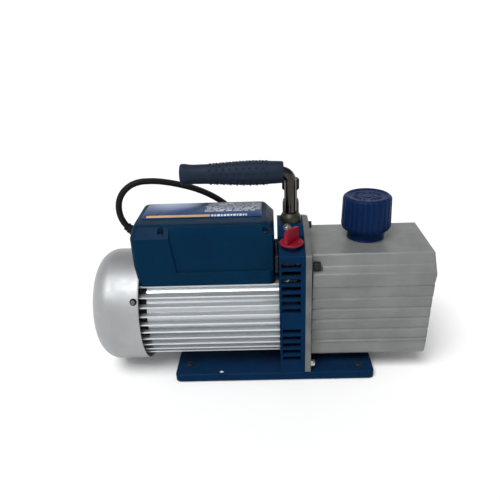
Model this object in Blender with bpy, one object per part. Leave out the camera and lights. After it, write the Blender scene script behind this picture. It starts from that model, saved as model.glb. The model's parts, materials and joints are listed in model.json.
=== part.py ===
"""Two-stage rotary vane vacuum pump, built as separate solids in one frame.

Lengths are metres.  +X runs along the shaft from the motor's fan to the oil case, +Z is up, and
the origin is on the floor under the middle of the pump.
"""

import math

import bmesh
import bpy
from mathutils import Matrix, Vector

# Clearances
GAP = 0.0003

# Shaft line and the stations along it
AXIS_Z = 0.0770
COWL_END = -0.2035
COWL_RIM = -0.1438
FRAME_LEFT = -0.1500
FRAME_CORE_LEFT = -0.1375
FRAME_RIGHT = 0.0192
BRACKET_LEFT = 0.0195
BRACKET_RIGHT = 0.0485
FLANGE_RIGHT = 0.0559
CASE_LEFT = 0.0577
CASE_RIGHT = 0.1965

# Base plate and feet
BASE_LEFT = -0.1105
BASE_RIGHT = 0.1335
BASE_HALF = 0.0670
BASE_TOP = 0.0113
BASE_SKIRT = 0.0015
BASE_SHEET = 0.0030
FOOT_RADIUS = 0.0100
FOOT_PLACES = {
    "front_left": (-0.0945, -0.0450),
    "front_right": (0.1151, -0.0520),
    "rear_left": (-0.0945, 0.0450),
    "rear_right": (0.1151, 0.0520),
}

# Motor
FIN_PITCH = 0.0101
FIN_THICK = 0.0018
FIN_RADIUS = 0.0645
CORE_RADIUS = 0.0560
FRAME_BORE = 0.0535
FINS_PER_SIDE = 10
COWL_RADIUS = 0.0700
COWL_FACE_RADIUS = 0.0450
COWL_ROUND_START = -0.1795
COWL_SHEET = 0.0016
COWL_SLOTS = 12
COWL_ROUND_STEPS = 4
STATOR_LEFT = -0.0950
STATOR_RIGHT = -0.0200
STATOR_BORE = 0.0330
STATOR_SLOTS = 12
SHAFT_RADIUS = 0.0062
BEARING_RADIUS = 0.0130
BEARING_WIDTH = 0.0090
BEARING_REAR = -0.1470
BEARING_FRONT = 0.0070
FAN_BLADES = 8
FAN_RADIUS = 0.0600

# Terminal box
BOX_LEFT = -0.1480
BOX_RIGHT = 0.0150
BOX_HALF = 0.0470
BOX_BOTTOM = 0.1250
BOX_LEAN = 0.0030
BOX_LEAN_TOP = 0.1500
BOX_SHOULDER = 0.1835
BOX_TOP = 0.1953
BOX_WALL = 0.0050
LID_LEFT = -0.1440
LID_RIGHT = 0.0062
LID_HALF = 0.0380
LID_TOP = 0.1971
LABEL_FRONT = -0.0185
LABEL_BACK = 0.0330
PANEL_LEFT = -0.0985
PANEL_BOTTOM = 0.1408
PANEL_LEAN = 0.0050
PANEL_DEPTH = 0.0024
WELL_RADIUS = 0.0036
WELL_BOTTOM = 0.1872
WELL_SIDE = 0.0417
WELL_STATIONS = (-0.1122, 0.0052)

# Bracket and flange
HOUSE_HALF = 0.0660
HOUSE_EAVE = 0.1667
RIDGE_HALF = 0.0165
RIDGE_TOP = 0.1840
BRACKET_WALL = 0.0045
BRACKET_BORE = 0.0300
VENT_HEIGHT = 0.0060
VENT_PITCH = 0.0096
VENT_LOWEST_UPPER = 0.0952
VENT_LOWEST_LOWER = 0.0288

# Oil case and pump module
CASE_WALL = 0.0045
CASE_TOP = 0.1600
MODULE_RADIUS = 0.0380
VANE_BORE = 0.0260
ROTOR_RADIUS = 0.0220
ECCENTRICITY = 0.0036
VANE_THICK = 0.0040
SLOT_WEB = 0.0030
STAGES = {"high": (0.0645, 0.0965), "low": (0.1051, 0.1211)}
SEAL_PLATE = (0.0562, 0.0642)
CENTRE_PLATE = (0.0968, 0.1048)
END_COVER = (0.1214, 0.1294)

# Fittings on top
EXHAUST = (0.1255, 0.0050)
CAP_RADIUS = 0.0297
CAP_BOTTOM = 0.1720
CAP_TOP = 0.2120
CAP_FLUTES = 26
CAP_FLUTE_SHAPE = ((0.0, 0.0012), (0.22, 0.0), (0.78, 0.0))
NECK_RADIUS = 0.0223
NECK_TOP = 0.1900
INTAKE = (0.0362, 0.0250)
INTAKE_SEAT = 0.1770
KNOB_FOOT = (0.0338, -0.0490)
KNOB_RADIUS = 0.0135
KNOB_HEIGHT = 0.0189
KNOB_WING_HALF = 0.0126
KNOB_WING_THICK = 0.0050
KNOB_WING_TURN = 55.0
KNOB_SEAT = 0.0080
KNOB_SEAT_TOP = 0.1741

# Handle
ROD_RADIUS = 0.0066
ROD_X = 0.0350
ROD_BEND = 0.0110
COLLAR_HEIGHT = 0.0108
GRIP_Z = 0.2432
GRIP_LEFT = -0.0905
GRIP_RIGHT = 0.0272

# Supply cord
CORD_RADIUS = 0.0039
SLEEVE_START = 0.0080
SLEEVE_TAPER = 0.0028
GLAND_X = -0.1440
GLAND_HALF = 0.0110
CORD_SPACING = 0.0130
CORD_ROUTE = [
    (-0.1443, 0.0170, 0.1645),
    (-0.1500, 0.0174, 0.1652),
    (-0.1560, 0.0181, 0.1670),
    (-0.1615, 0.0190, 0.1700),
    (-0.1664, 0.0202, 0.1743),
    (-0.1705, 0.0215, 0.1797),
    (-0.1733, 0.0230, 0.1860),
    (-0.1747, 0.0247, 0.1930),
    (-0.1745, 0.0265, 0.2002),
    (-0.1728, 0.0283, 0.2068),
    (-0.1695, 0.0303, 0.2128),
    (-0.1645, 0.0325, 0.2180),
    (-0.1580, 0.0350, 0.2220),
    (-0.1505, 0.0375, 0.2242),
    (-0.1420, 0.0402, 0.2247),
    (-0.1260, 0.0450, 0.2228),
    (-0.1050, 0.0515, 0.2168),
    (-0.0820, 0.0590, 0.2072),
    (-0.0610, 0.0660, 0.1940),
    (-0.0440, 0.0720, 0.1780),
    (-0.0320, 0.0775, 0.1580),
    (-0.0250, 0.0820, 0.1340),
    (-0.0215, 0.0860, 0.1080),
    (-0.0190, 0.0893, 0.0820),
    (-0.0145, 0.0922, 0.0580),
    (-0.0060, 0.0943, 0.0355),
    (0.0065, 0.0955, 0.0180),
    (0.0215, 0.0959, 0.0077),
    (0.0370, 0.0958, 0.0046),
    (0.0535, 0.0955, 0.0045),
]
COIL_CENTRE = (0.0850, 0.1500)
COIL_MEAN = 0.0455
COIL_HALF = 0.0134
COIL_HEIGHT = 0.0162
PLUG_CENTRE = (0.0210, 0.2045)

FINISHES = {
    "blue_paint": ((0.005, 0.026, 0.075), 0.42, 0.0),
    "box_plastic": ((0.003, 0.014, 0.028), 0.38, 0.0),
    "cap_plastic": ((0.004, 0.020, 0.085), 0.35, 0.0),
    "bare_aluminium": ((0.62, 0.63, 0.64), 0.42, 1.0),
    "case_paint": ((0.20, 0.20, 0.19), 0.45, 0.6),
    "flange_metal": ((0.24, 0.24, 0.22), 0.50, 0.7),
    "silver_paint": ((0.55, 0.57, 0.60), 0.36, 0.5),
    "black_metal": ((0.012, 0.012, 0.013), 0.45, 0.2),
    "black_plastic": ((0.010, 0.010, 0.011), 0.50, 0.0),
    "black_rubber": ((0.008, 0.008, 0.009), 0.75, 0.0),
    "grip_rubber": ((0.007, 0.011, 0.022), 0.60, 0.0),
    "red_plastic": ((0.36, 0.010, 0.030), 0.35, 0.0),
    "dark_steel": ((0.05, 0.05, 0.05), 0.25, 1.0),
    "bright_steel": ((0.60, 0.60, 0.60), 0.30, 1.0),
    "lamination": ((0.16, 0.16, 0.17), 0.55, 0.9),
    "copper": ((0.62, 0.25, 0.10), 0.35, 1.0),
    "brass": ((0.30, 0.24, 0.10), 0.40, 0.9),
    "cast_iron": ((0.09, 0.09, 0.09), 0.60, 0.8),
    "label_print": ((0.02, 0.09, 0.33), 0.35, 0.0),
    "clear_glass": ((0.75, 0.80, 0.78), 0.10, 0.0),
    "filter_felt": ((0.55, 0.52, 0.44), 0.90, 0.0),
    "composite": ((0.03, 0.03, 0.03), 0.60, 0.0),
}


def clear_scene():
    """Remove every object that the scene holds."""
    for obj in list(bpy.data.objects):
        bpy.data.objects.remove(obj, do_unlink=True)


def make_material(name, owner):
    """Make the owner's own Principled material in one of the named finishes."""
    colour, roughness, metallic = FINISHES[name]
    material = bpy.data.materials.new(f"{owner}_{name}")
    material.use_nodes = True
    shader = material.node_tree.nodes["Principled BSDF"]
    shader.inputs["Base Color"].default_value = (*colour, 1.0)
    shader.inputs["Roughness"].default_value = roughness
    shader.inputs["Metallic"].default_value = metallic
    return material


def place_of(obj):
    """Where an unturned object's origin is in the pump's frame."""
    place = obj.location.copy()
    while obj.parent is not None:
        obj = obj.parent
        place += obj.location
    return place


def add_empty(name, place, parent=None):
    """Add an empty that carries a moving group on its joint's axis."""
    empty = bpy.data.objects.new(name, None)
    bpy.context.scene.collection.objects.link(empty)
    empty.location = place
    if parent is not None:
        empty.location = Vector(place) - place_of(parent)
        empty.parent = parent
    return empty


def add_solid(name, bm, finish, origin=(0.0, 0.0, 0.0), parent=None):
    """Store a bmesh, drawn in the pump's frame, as an object whose origin is at the given place."""
    bmesh.ops.remove_doubles(bm, verts=bm.verts, dist=1e-6)
    bmesh.ops.recalc_face_normals(bm, faces=bm.faces)
    bmesh.ops.translate(bm, verts=bm.verts, vec=-Vector(origin))
    mesh = bpy.data.meshes.new(name)
    bm.to_mesh(mesh)
    bm.free()
    mesh.shade_smooth()
    mesh.set_sharp_from_angle(angle=math.radians(35.0))
    mesh.materials.append(make_material(finish, name))
    obj = bpy.data.objects.new(name, mesh)
    bpy.context.scene.collection.objects.link(obj)
    obj.location = origin
    if parent is not None:
        obj.location = Vector(origin) - place_of(parent)
        obj.parent = parent
    return obj


def combine(target, tool_bm, operation="DIFFERENCE"):
    """Cut a tool out of a solid, or join it on, with an exact Boolean."""
    tool = add_solid(f"{target.name}_tool_{len(target.modifiers)}", tool_bm, "black_plastic")
    tool.hide_render = True
    tool.display_type = "WIRE"
    modifier = target.modifiers.new(f"{operation.lower()}_{len(target.modifiers)}", "BOOLEAN")
    modifier.operation = operation
    modifier.solver = "EXACT"
    modifier.use_self = True
    modifier.object = tool


def arc(centre, radius, start, end, steps):
    """Points along an arc, from one angle in degrees to another."""
    points = []
    for step in range(steps + 1):
        angle = math.radians(start + (end - start) * step / steps)
        points.append((centre[0] + radius * math.cos(angle), centre[1] + radius * math.sin(angle)))
    return points


def fillet(corners, steps=3):
    """Round an outline's corners; each corner is (a, b, radius)."""
    points = []
    count = len(corners)
    for index, (a, b, radius) in enumerate(corners):
        here = Vector((a, b))
        if radius == 0.0:
            points.append((a, b))
            continue
        before = (Vector(corners[index - 1][:2]) - here).normalized()
        after = (Vector(corners[(index + 1) % count][:2]) - here).normalized()
        half = before.angle(after) / 2.0
        reach = radius / math.tan(half)
        middle = here + (before + after).normalized() * (radius / math.sin(half))
        first = here + before * reach - middle
        last = here + after * reach - middle
        for step in range(steps + 1):
            blend = first.slerp(last, step / steps, Vector((0.0, 1.0)))
            points.append(tuple(middle + blend.normalized() * radius))
    return points


def rectangle(low, high, radius=0.0):
    """Corners of a rectangle for fillet, from its low to its high corner."""
    return [
        (low[0], low[1], radius),
        (high[0], low[1], radius),
        (high[0], high[1], radius),
        (low[0], high[1], radius),
    ]


def on_axis(axis, along, a, b):
    """Put a point of an outline on the plane square to an axis."""
    if axis == "X":
        return (along, a, b)
    if axis == "Y":
        return (a, along, b)
    return (a, b, along)


def loft(rings):
    """A closed solid through rings of equal length, with both ends filled."""
    bm = bmesh.new()
    rows = [[bm.verts.new(point) for point in ring] for ring in rings]
    count = len(rows[0])
    for low, high in zip(rows, rows[1:]):
        for index in range(count):
            after = (index + 1) % count
            bm.faces.new((low[index], low[after], high[after], high[index]))
    bm.faces.new(rows[0])
    bm.faces.new(rows[-1])
    return bm


def prism(outline, start, end, axis="X"):
    """Run an outline straight along an axis from one place to another."""
    return loft([[on_axis(axis, along, a, b) for a, b in outline] for along in (start, end)])


def block(low, high):
    """A plain box between two corners."""
    outline = [corner[:2] for corner in rectangle(low, high)]
    return prism(outline, low[2], high[2], "Z")


def turned(profile, centre, axis="X", segments=24, ring=False):
    """Spin a profile of (along, radius) points round an axis through centre."""
    bm = bmesh.new()
    verts = [bm.verts.new((along, 0.0, radius)) for along, radius in profile]
    for first, second in zip(verts, verts[1:]):
        bm.edges.new((first, second))
    if ring:
        bm.edges.new((verts[-1], verts[0]))
    bmesh.ops.spin(
        bm,
        geom=list(bm.verts) + list(bm.edges),
        cent=(0.0, 0.0, 0.0),
        axis=(1.0, 0.0, 0.0),
        angle=2.0 * math.pi,
        steps=segments,
        use_merge=True,
    )
    turn = Matrix.Identity(3)
    if axis == "Z":
        turn = Matrix.Rotation(-math.pi / 2.0, 3, "Y")
    if axis == "Y":
        turn = Matrix.Rotation(math.pi / 2.0, 3, "Z")
    bmesh.ops.rotate(bm, verts=bm.verts, cent=(0.0, 0.0, 0.0), matrix=turn)
    bmesh.ops.translate(bm, verts=bm.verts, vec=centre)
    return bm


def disc(start, end, radius, centre, axis="X", segments=24, bevel=0.0):
    """A round bar between two places along an axis, with its rims bevelled."""
    profile = [(start, 0.0), (start, radius - bevel)]
    if bevel > 0.0:
        profile += [(start + bevel, radius), (end - bevel, radius)]
        profile.append((end, radius - bevel))
    else:
        profile.append((end, radius))
    profile.append((end, 0.0))
    return turned(profile, centre, axis, segments)


def tube(start, end, inner, outer, centre, axis="X", segments=24):
    """A round pipe between two places along an axis."""
    profile = [(start, inner), (start, outer), (end, outer), (end, inner)]
    return turned(profile, centre, axis, segments, ring=True)


def merged(*parts):
    """Put several bmeshes into one, as a tool with more than one body."""
    whole = parts[0]
    for part in parts[1:]:
        scratch = bpy.data.meshes.new("scratch")
        part.to_mesh(scratch)
        whole.from_mesh(scratch)
        part.free()
        bpy.data.meshes.remove(scratch)
    return whole


def smooth_route(points, spacing):
    """Evenly spaced points on a Catmull-Rom curve through the route's own points."""
    fine = []
    nodes = [Vector(point) for point in points]
    ends = [2 * nodes[0] - nodes[1]] + nodes + [2 * nodes[-1] - nodes[-2]]
    for p0, p1, p2, p3 in zip(ends, ends[1:], ends[2:], ends[3:]):
        for step in range(12):
            t = step / 12.0
            straight = 2 * p1 + (p2 - p0) * t
            bend = (2 * p0 - 5 * p1 + 4 * p2 - p3) * t * t + (3 * p1 - p0 - 3 * p2 + p3) * t**3
            fine.append((straight + bend) / 2.0)
    fine.append(nodes[-1])
    lengths = [0.0]
    for first, second in zip(fine, fine[1:]):
        lengths.append(lengths[-1] + (second - first).length)
    count = round(lengths[-1] / spacing)
    even = []
    place = 0
    for step in range(count + 1):
        want = lengths[-1] * step / count
        while place < len(fine) - 2 and lengths[place + 1] < want:
            place += 1
        share = (want - lengths[place]) / (lengths[place + 1] - lengths[place])
        even.append(fine[place].lerp(fine[place + 1], min(share, 1.0)))
    return even


def house_outline(inset=0.0, bottom=BASE_TOP + GAP, radius=0.004):
    """The bracket's and flange's outline: square foot, upright sides, low roof."""
    half = HOUSE_HALF - inset
    ridge = RIDGE_TOP - inset
    eave = HOUSE_EAVE - inset * 0.6
    corners = [
        (-half, bottom, 0.0),
        (half, bottom, 0.0),
        (half, eave, radius),
        (RIDGE_HALF - inset * 0.2, ridge, radius),
        (-RIDGE_HALF + inset * 0.2, ridge, radius),
        (-half, eave, radius),
    ]
    return fillet(corners)


def build_base():
    """Folded sheet base plate on four rubber feet."""
    low = (BASE_LEFT, -BASE_HALF)
    high = (BASE_RIGHT, BASE_HALF)
    outline = fillet(rectangle(low, high, 0.006))
    inset = 0.0015
    inner = rectangle((low[0] + inset, low[1] + inset), (high[0] - inset, high[1] - inset), 0.006 - inset)
    shrunk = fillet(inner)
    rings = [
        [(x, y, BASE_SKIRT) for x, y in outline],
        [(x, y, BASE_TOP - inset) for x, y in outline],
        [(x, y, BASE_TOP) for x, y in shrunk],
    ]
    plate = add_solid("base_plate", loft(rings), "blue_paint")
    inner_low = (low[0] + BASE_SHEET, low[1] + BASE_SHEET, -0.01)
    inner_high = (high[0] - BASE_SHEET, high[1] - BASE_SHEET, BASE_TOP - BASE_SHEET)
    combine(plate, block(inner_low, inner_high))
    for place, (x, y) in FOOT_PLACES.items():
        foot = disc(0.0, BASE_TOP - BASE_SHEET - GAP, FOOT_RADIUS, (x, y, 0.0), "Z", 24, 0.0008)
        add_solid(f"foot_{place}", foot, "black_rubber")


def finned_outline():
    """The motor frame's section: a round core with level fins out to both sides."""

    def core(z):
        return math.sqrt(CORE_RADIUS**2 - z**2)

    heights = [(index - (FINS_PER_SIDE - 1) / 2.0) * FIN_PITCH for index in range(FINS_PER_SIDE)]
    half = FIN_THICK / 2.0
    side = []
    for z in heights:
        tip_low = math.sqrt(FIN_RADIUS**2 - (abs(z) + half) ** 2)
        side.append((core(z - half), z - half))
        side.append((tip_low, z - half))
        side.append((tip_low, z + half))
        side.append((core(z + half), z + half))
        if z < heights[-1]:
            side.append((core(z + FIN_PITCH / 2.0), z + FIN_PITCH / 2.0))
    edge = math.degrees(math.atan2(side[-1][1], side[-1][0]))
    crown = arc((0.0, 0.0), CORE_RADIUS, edge, 180.0 - edge, 12)[1:-1]
    outline = side + crown + [(-y, z) for y, z in reversed(side)]
    outline += [(-y, -z) for y, z in crown]
    return [(y, z + AXIS_Z) for y, z in outline]


def build_motor_frame():
    """Finned frame, end shields, bearings and the sheet cowl over the fan."""
    centre = (0.0, 0.0, AXIS_Z)
    frame = add_solid("motor_frame", prism(finned_outline(), FRAME_LEFT, FRAME_RIGHT), "bare_aluminium")
    combine(frame, disc(FRAME_LEFT - 0.01, FRAME_RIGHT + 0.01, FRAME_BORE, centre, segments=48))
    combine(frame, disc(FRAME_LEFT - 0.01, FRAME_CORE_LEFT, CORE_RADIUS + 0.0012, centre, segments=48))

    rear = BEARING_REAR + BEARING_WIDTH
    shield_profile = [
        (BEARING_REAR, BEARING_RADIUS + GAP),
        (BEARING_REAR, BEARING_RADIUS + 0.0045),
        (FRAME_CORE_LEFT - 0.0065, BEARING_RADIUS + 0.0060),
        (FRAME_CORE_LEFT - 0.0065, CORE_RADIUS),
        (FRAME_CORE_LEFT - GAP, CORE_RADIUS),
        (FRAME_CORE_LEFT - GAP, 0.0200),
        (rear + 0.0030, 0.0180),
        (rear + 0.0030, SHAFT_RADIUS + 0.0010),
        (rear + GAP, SHAFT_RADIUS + 0.0010),
        (rear + GAP, BEARING_RADIUS + GAP),
    ]
    add_solid("rear_shield", turned(shield_profile, centre, ring=True), "black_metal")

    front = BEARING_FRONT + BEARING_WIDTH
    shield_profile = [
        (BEARING_FRONT, BEARING_RADIUS + GAP),
        (BEARING_FRONT, BEARING_RADIUS + 0.0045),
        (front - 0.0040, BEARING_RADIUS + 0.0060),
        (front - 0.0040, FRAME_BORE - GAP),
        (FRAME_RIGHT, FRAME_BORE - GAP),
        (FRAME_RIGHT, SHAFT_RADIUS + 0.0010),
        (front + GAP, SHAFT_RADIUS + 0.0010),
        (front + GAP, BEARING_RADIUS + GAP),
    ]
    add_solid("front_shield", turned(shield_profile, centre, ring=True), "black_metal")

    inner = SHAFT_RADIUS + GAP
    for name, start in (("bearing_rear", BEARING_REAR), ("bearing_front", BEARING_FRONT)):
        race = tube(start, start + BEARING_WIDTH, inner, BEARING_RADIUS, centre)
        add_solid(name, race, "bright_steel")

    stay_outline = fillet(rectangle((-0.0430, 0.1350), (0.0100, 0.1580), 0.003), 2)
    stay = prism(stay_outline, BOX_RIGHT + GAP, BRACKET_LEFT - GAP)
    add_solid("box_stay", stay, "black_metal")

    build_cowl(centre)


def build_cowl(centre):
    """Pressed sheet cowl with radial air slots in its flat end."""
    depth = COWL_ROUND_START - COWL_END
    drop = COWL_RADIUS - COWL_FACE_RADIUS
    outer = [(COWL_RIM, COWL_RADIUS)]
    inner = [(COWL_RIM, COWL_RADIUS - COWL_SHEET)]
    for step in range(COWL_ROUND_STEPS + 1):
        angle = math.radians(90.0 * step / COWL_ROUND_STEPS)
        outer.append((COWL_ROUND_START - depth * math.sin(angle), COWL_FACE_RADIUS + drop * math.cos(angle)))
        along = COWL_ROUND_START - (depth - COWL_SHEET) * math.sin(angle)
        inner.append((along, COWL_FACE_RADIUS + (drop - COWL_SHEET) * math.cos(angle)))
    profile = outer + [(COWL_END, 0.0), (COWL_END + COWL_SHEET, 0.0)] + list(reversed(inner))
    bm = turned(profile, centre, segments=36, ring=True)
    cowl = add_solid("fan_cowl", bm, "silver_paint")
    slots = []
    for index in range(COWL_SLOTS):
        slot = block((COWL_END - 0.01, -0.0020, 0.0170), (COWL_END + 0.01, 0.0020, 0.0410))
        turn = Matrix.Rotation(2.0 * math.pi * index / COWL_SLOTS, 3, "X")
        bmesh.ops.rotate(slot, verts=slot.verts, cent=(0.0, 0.0, 0.0), matrix=turn)
        bmesh.ops.translate(slot, verts=slot.verts, vec=centre)
        slots.append(slot)
    combine(cowl, merged(*slots))


def build_motor_inside(drive):
    """Wound stator, and the rotor, shaft, fan and coupling that turn inside the frame."""
    centre = (0.0, 0.0, AXIS_Z)
    turn_point = place_of(drive)

    core = tube(STATOR_LEFT, STATOR_RIGHT, STATOR_BORE, FRAME_BORE - GAP, centre, segments=36)
    stator = add_solid("stator_core", core, "lamination")
    slots = []
    bars = []
    for index in range(STATOR_SLOTS):
        turn = Matrix.Rotation(2.0 * math.pi * index / STATOR_SLOTS, 3, "X")
        slot = block((STATOR_LEFT - 0.01, -0.0033, 0.0370), (STATOR_RIGHT + 0.01, 0.0033, 0.0480))
        bar = block((STATOR_LEFT - 0.004, -0.0030, 0.0373), (STATOR_RIGHT + 0.004, 0.0030, 0.0477))
        for part in (slot, bar):
            bmesh.ops.rotate(part, verts=part.verts, cent=(0.0, 0.0, 0.0), matrix=turn)
            bmesh.ops.translate(part, verts=part.verts, vec=centre)
        slots.append(slot)
        bars.append(bar)
    combine(stator, merged(*slots))

    left_ring = tube(STATOR_LEFT - 0.0160, STATOR_LEFT - GAP, 0.0360, 0.0500, centre)
    right_ring = tube(STATOR_RIGHT + GAP, STATOR_RIGHT + 0.0160, 0.0360, 0.0500, centre)
    winding = add_solid("stator_winding", left_ring, "copper")
    combine(winding, merged(right_ring, *bars), "UNION")

    rotor = tube(-0.0930, -0.0220, SHAFT_RADIUS + 0.0020 + GAP, STATOR_BORE - 0.0006, centre, segments=36)
    add_solid("rotor_core", rotor, "lamination", turn_point, drive)
    shaft_profile = [
        (-0.1920, 0.0),
        (-0.1920, SHAFT_RADIUS),
        (-0.1050, SHAFT_RADIUS),
        (-0.1050, SHAFT_RADIUS + 0.0020),
        (-0.0050, SHAFT_RADIUS + 0.0020),
        (-0.0050, SHAFT_RADIUS),
        (0.0330, SHAFT_RADIUS),
        (0.0330, 0.0),
    ]
    shaft = turned(shaft_profile, centre)
    add_solid("motor_shaft", shaft, "bright_steel", turn_point, drive)

    hub = tube(-0.1880, -0.1600, SHAFT_RADIUS + GAP, 0.0140, centre)
    fan = add_solid("cooling_fan", hub, "black_plastic", turn_point, drive)
    web = tube(-0.1622, -0.1600, 0.0120, FAN_RADIUS, centre)
    blades = []
    for index in range(FAN_BLADES):
        blade = block((-0.1860, -0.0010, 0.0120), (-0.1610, 0.0010, FAN_RADIUS - 0.0010))
        turn = Matrix.Rotation(2.0 * math.pi * (index + 0.5) / FAN_BLADES, 3, "X")
        bmesh.ops.rotate(blade, verts=blade.verts, cent=(0.0, 0.0, 0.0), matrix=turn)
        bmesh.ops.translate(blade, verts=blade.verts, vec=centre)
        blades.append(blade)
    combine(fan, merged(web, *blades), "UNION")

    coupling_profile = [
        (0.0245, SHAFT_RADIUS + GAP),
        (0.0245, 0.0180),
        (0.0260, 0.0195),
        (0.0420, 0.0195),
        (0.0435, 0.0180),
        (0.0435, SHAFT_RADIUS + GAP),
    ]
    coupling = turned(coupling_profile, centre, ring=True)
    add_solid("shaft_coupling", coupling, "cast_iron", turn_point, drive)


def box_rings(inset, bottom, top, cut_top):
    """Rings up the terminal box: upright sides, then sloped shoulders on all four sides."""
    rings = []
    far = (BOX_RIGHT - inset, BOX_HALF - inset)
    foot = rectangle((BOX_LEFT + BOX_LEAN + inset, -BOX_HALF + inset), far, 0.008)
    lower = rectangle((BOX_LEFT + inset, -BOX_HALF + inset), far, 0.008)
    upper = inset_corners(inset, 0.008)
    shoulder = BOX_SHOULDER - inset * 0.5
    for corners, z in ((foot, bottom), (lower, BOX_LEAN_TOP), (lower, shoulder), (upper, top)):
        rings.append([(x, y, z) for x, y in fillet(corners, 4)])
    if cut_top:
        rings.append([(x, y, top + 0.02) for x, y in fillet(upper, 4)])
    return rings


def end_opening(place, half_width, half_height, end):
    """A tool that opens the box's left end round a place, as deep as the given end."""
    y, z = place
    low = (BOX_LEFT - 0.01, y - half_width, z - half_height)
    return block(low, (end, y + half_width, z + half_height))


def inset_corners(inset, radius):
    """The cover's rectangle drawn in by an inset, for fillet."""
    low = (LID_LEFT + inset, -LID_HALF + inset)
    return rectangle(low, (LID_RIGHT - inset, LID_HALF - inset), radius)


def build_terminal_box(rocker_place):
    """Moulded terminal box with its cover, print, capacitor, switch and cord sleeve."""
    box = add_solid("terminal_box", loft(box_rings(0.0, BOX_BOTTOM, BOX_TOP, False)), "box_plastic")
    combine(box, loft(box_rings(BOX_WALL, BOX_BOTTOM - 0.02, BOX_TOP - 0.0030, True)))
    arch = disc(BOX_LEFT - 0.01, BOX_RIGHT + 0.01, CORE_RADIUS + 0.0008, (0.0, 0.0, AXIS_Z), segments=48)
    combine(box, arch)
    cowl_room = disc(BOX_LEFT - 0.01, COWL_RIM + GAP, COWL_RADIUS + 0.0005, (0.0, 0.0, AXIS_Z), segments=48)
    combine(box, cowl_room)
    panel_depths = (
        (PANEL_BOTTOM, -BOX_HALF + PANEL_DEPTH),
        (BOX_SHOULDER - 0.0010, -BOX_HALF + PANEL_DEPTH),
        (BOX_TOP - 0.0010, -LID_HALF + PANEL_DEPTH - 0.0030),
    )
    panel_rings = []
    for z, back in panel_depths:
        lean = PANEL_LEAN * min(1.0, (z - PANEL_BOTTOM) / (BOX_SHOULDER - PANEL_BOTTOM))
        corners = rectangle((PANEL_LEFT - lean, -0.0800), (0.0300, back))
        panel_rings.append([(x, y, z) for x, y, radius in corners])
    combine(box, loft(panel_rings))
    wells = [
        disc(WELL_BOTTOM, LID_TOP + 0.01, WELL_RADIUS, (x, side * WELL_SIDE, 0.0), "Z", 16)
        for x in WELL_STATIONS
        for side in (-1.0, 1.0)
    ]
    combine(box, merged(*wells))
    combine(box, end_opening(rocker_place, 0.0105, 0.0065, BOX_LEFT + 0.0120))
    _, gland_y, gland_z = CORD_ROUTE[0]
    combine(box, end_opening((gland_y, gland_z), GLAND_HALF, GLAND_HALF, GLAND_X))

    lower = fillet(inset_corners(GAP, 0.008), 4)
    upper = fillet(inset_corners(0.0040, 0.007), 4)
    rings = [
        [(x, y, BOX_TOP + GAP) for x, y in lower],
        [(x, y, BOX_TOP + GAP + 0.0005) for x, y in lower],
        [(x, y, LID_TOP) for x, y in upper],
    ]
    add_solid("box_lid", loft(rings), "box_plastic")
    label_low = (LID_LEFT + 0.0060, LABEL_FRONT)
    label_high = (LID_RIGHT - 0.0055, LABEL_BACK)
    label_outline = fillet(rectangle(label_low, label_high, 0.004))
    add_solid("box_label", prism(label_outline, LID_TOP + GAP, LID_TOP + GAP + 0.0003, "Z"), "label_print")

    capacitor = disc(-0.0880, -0.0160, 0.0175, (0.0, 0.0120, 0.1585), bevel=0.0015)
    add_solid("run_capacitor", capacitor, "black_plastic")

    y_switch, z_switch = rocker_place
    bezel_low = (y_switch - 0.0100, z_switch - 0.0060)
    bezel_high = (y_switch + 0.0100, z_switch + 0.0060)
    bezel_outline = fillet(rectangle(bezel_low, bezel_high, 0.001), 1)
    bezel_solid = prism(bezel_outline, BOX_LEFT - 0.0012, BOX_LEFT + 0.0100)
    bezel = add_solid("switch_bezel", bezel_solid, "black_plastic")
    combine(bezel, end_opening(rocker_place, 0.0085, 0.0045, BOX_LEFT + 0.0070))
    pivot = (BOX_LEFT + 0.0026, y_switch, z_switch)
    rocker_outline = [
        (y_switch - 0.0080, BOX_LEFT - 0.0014),
        (y_switch, BOX_LEFT - 0.0004),
        (y_switch + 0.0080, BOX_LEFT - 0.0014),
        (y_switch + 0.0070, BOX_LEFT + 0.0030),
        (y_switch - 0.0070, BOX_LEFT + 0.0030),
    ]
    rings = [[(x, y, z) for y, x in rocker_outline] for z in (z_switch - 0.0041, z_switch + 0.0041)]
    add_solid("switch_rocker", loft(rings), "black_plastic", pivot)


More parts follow.
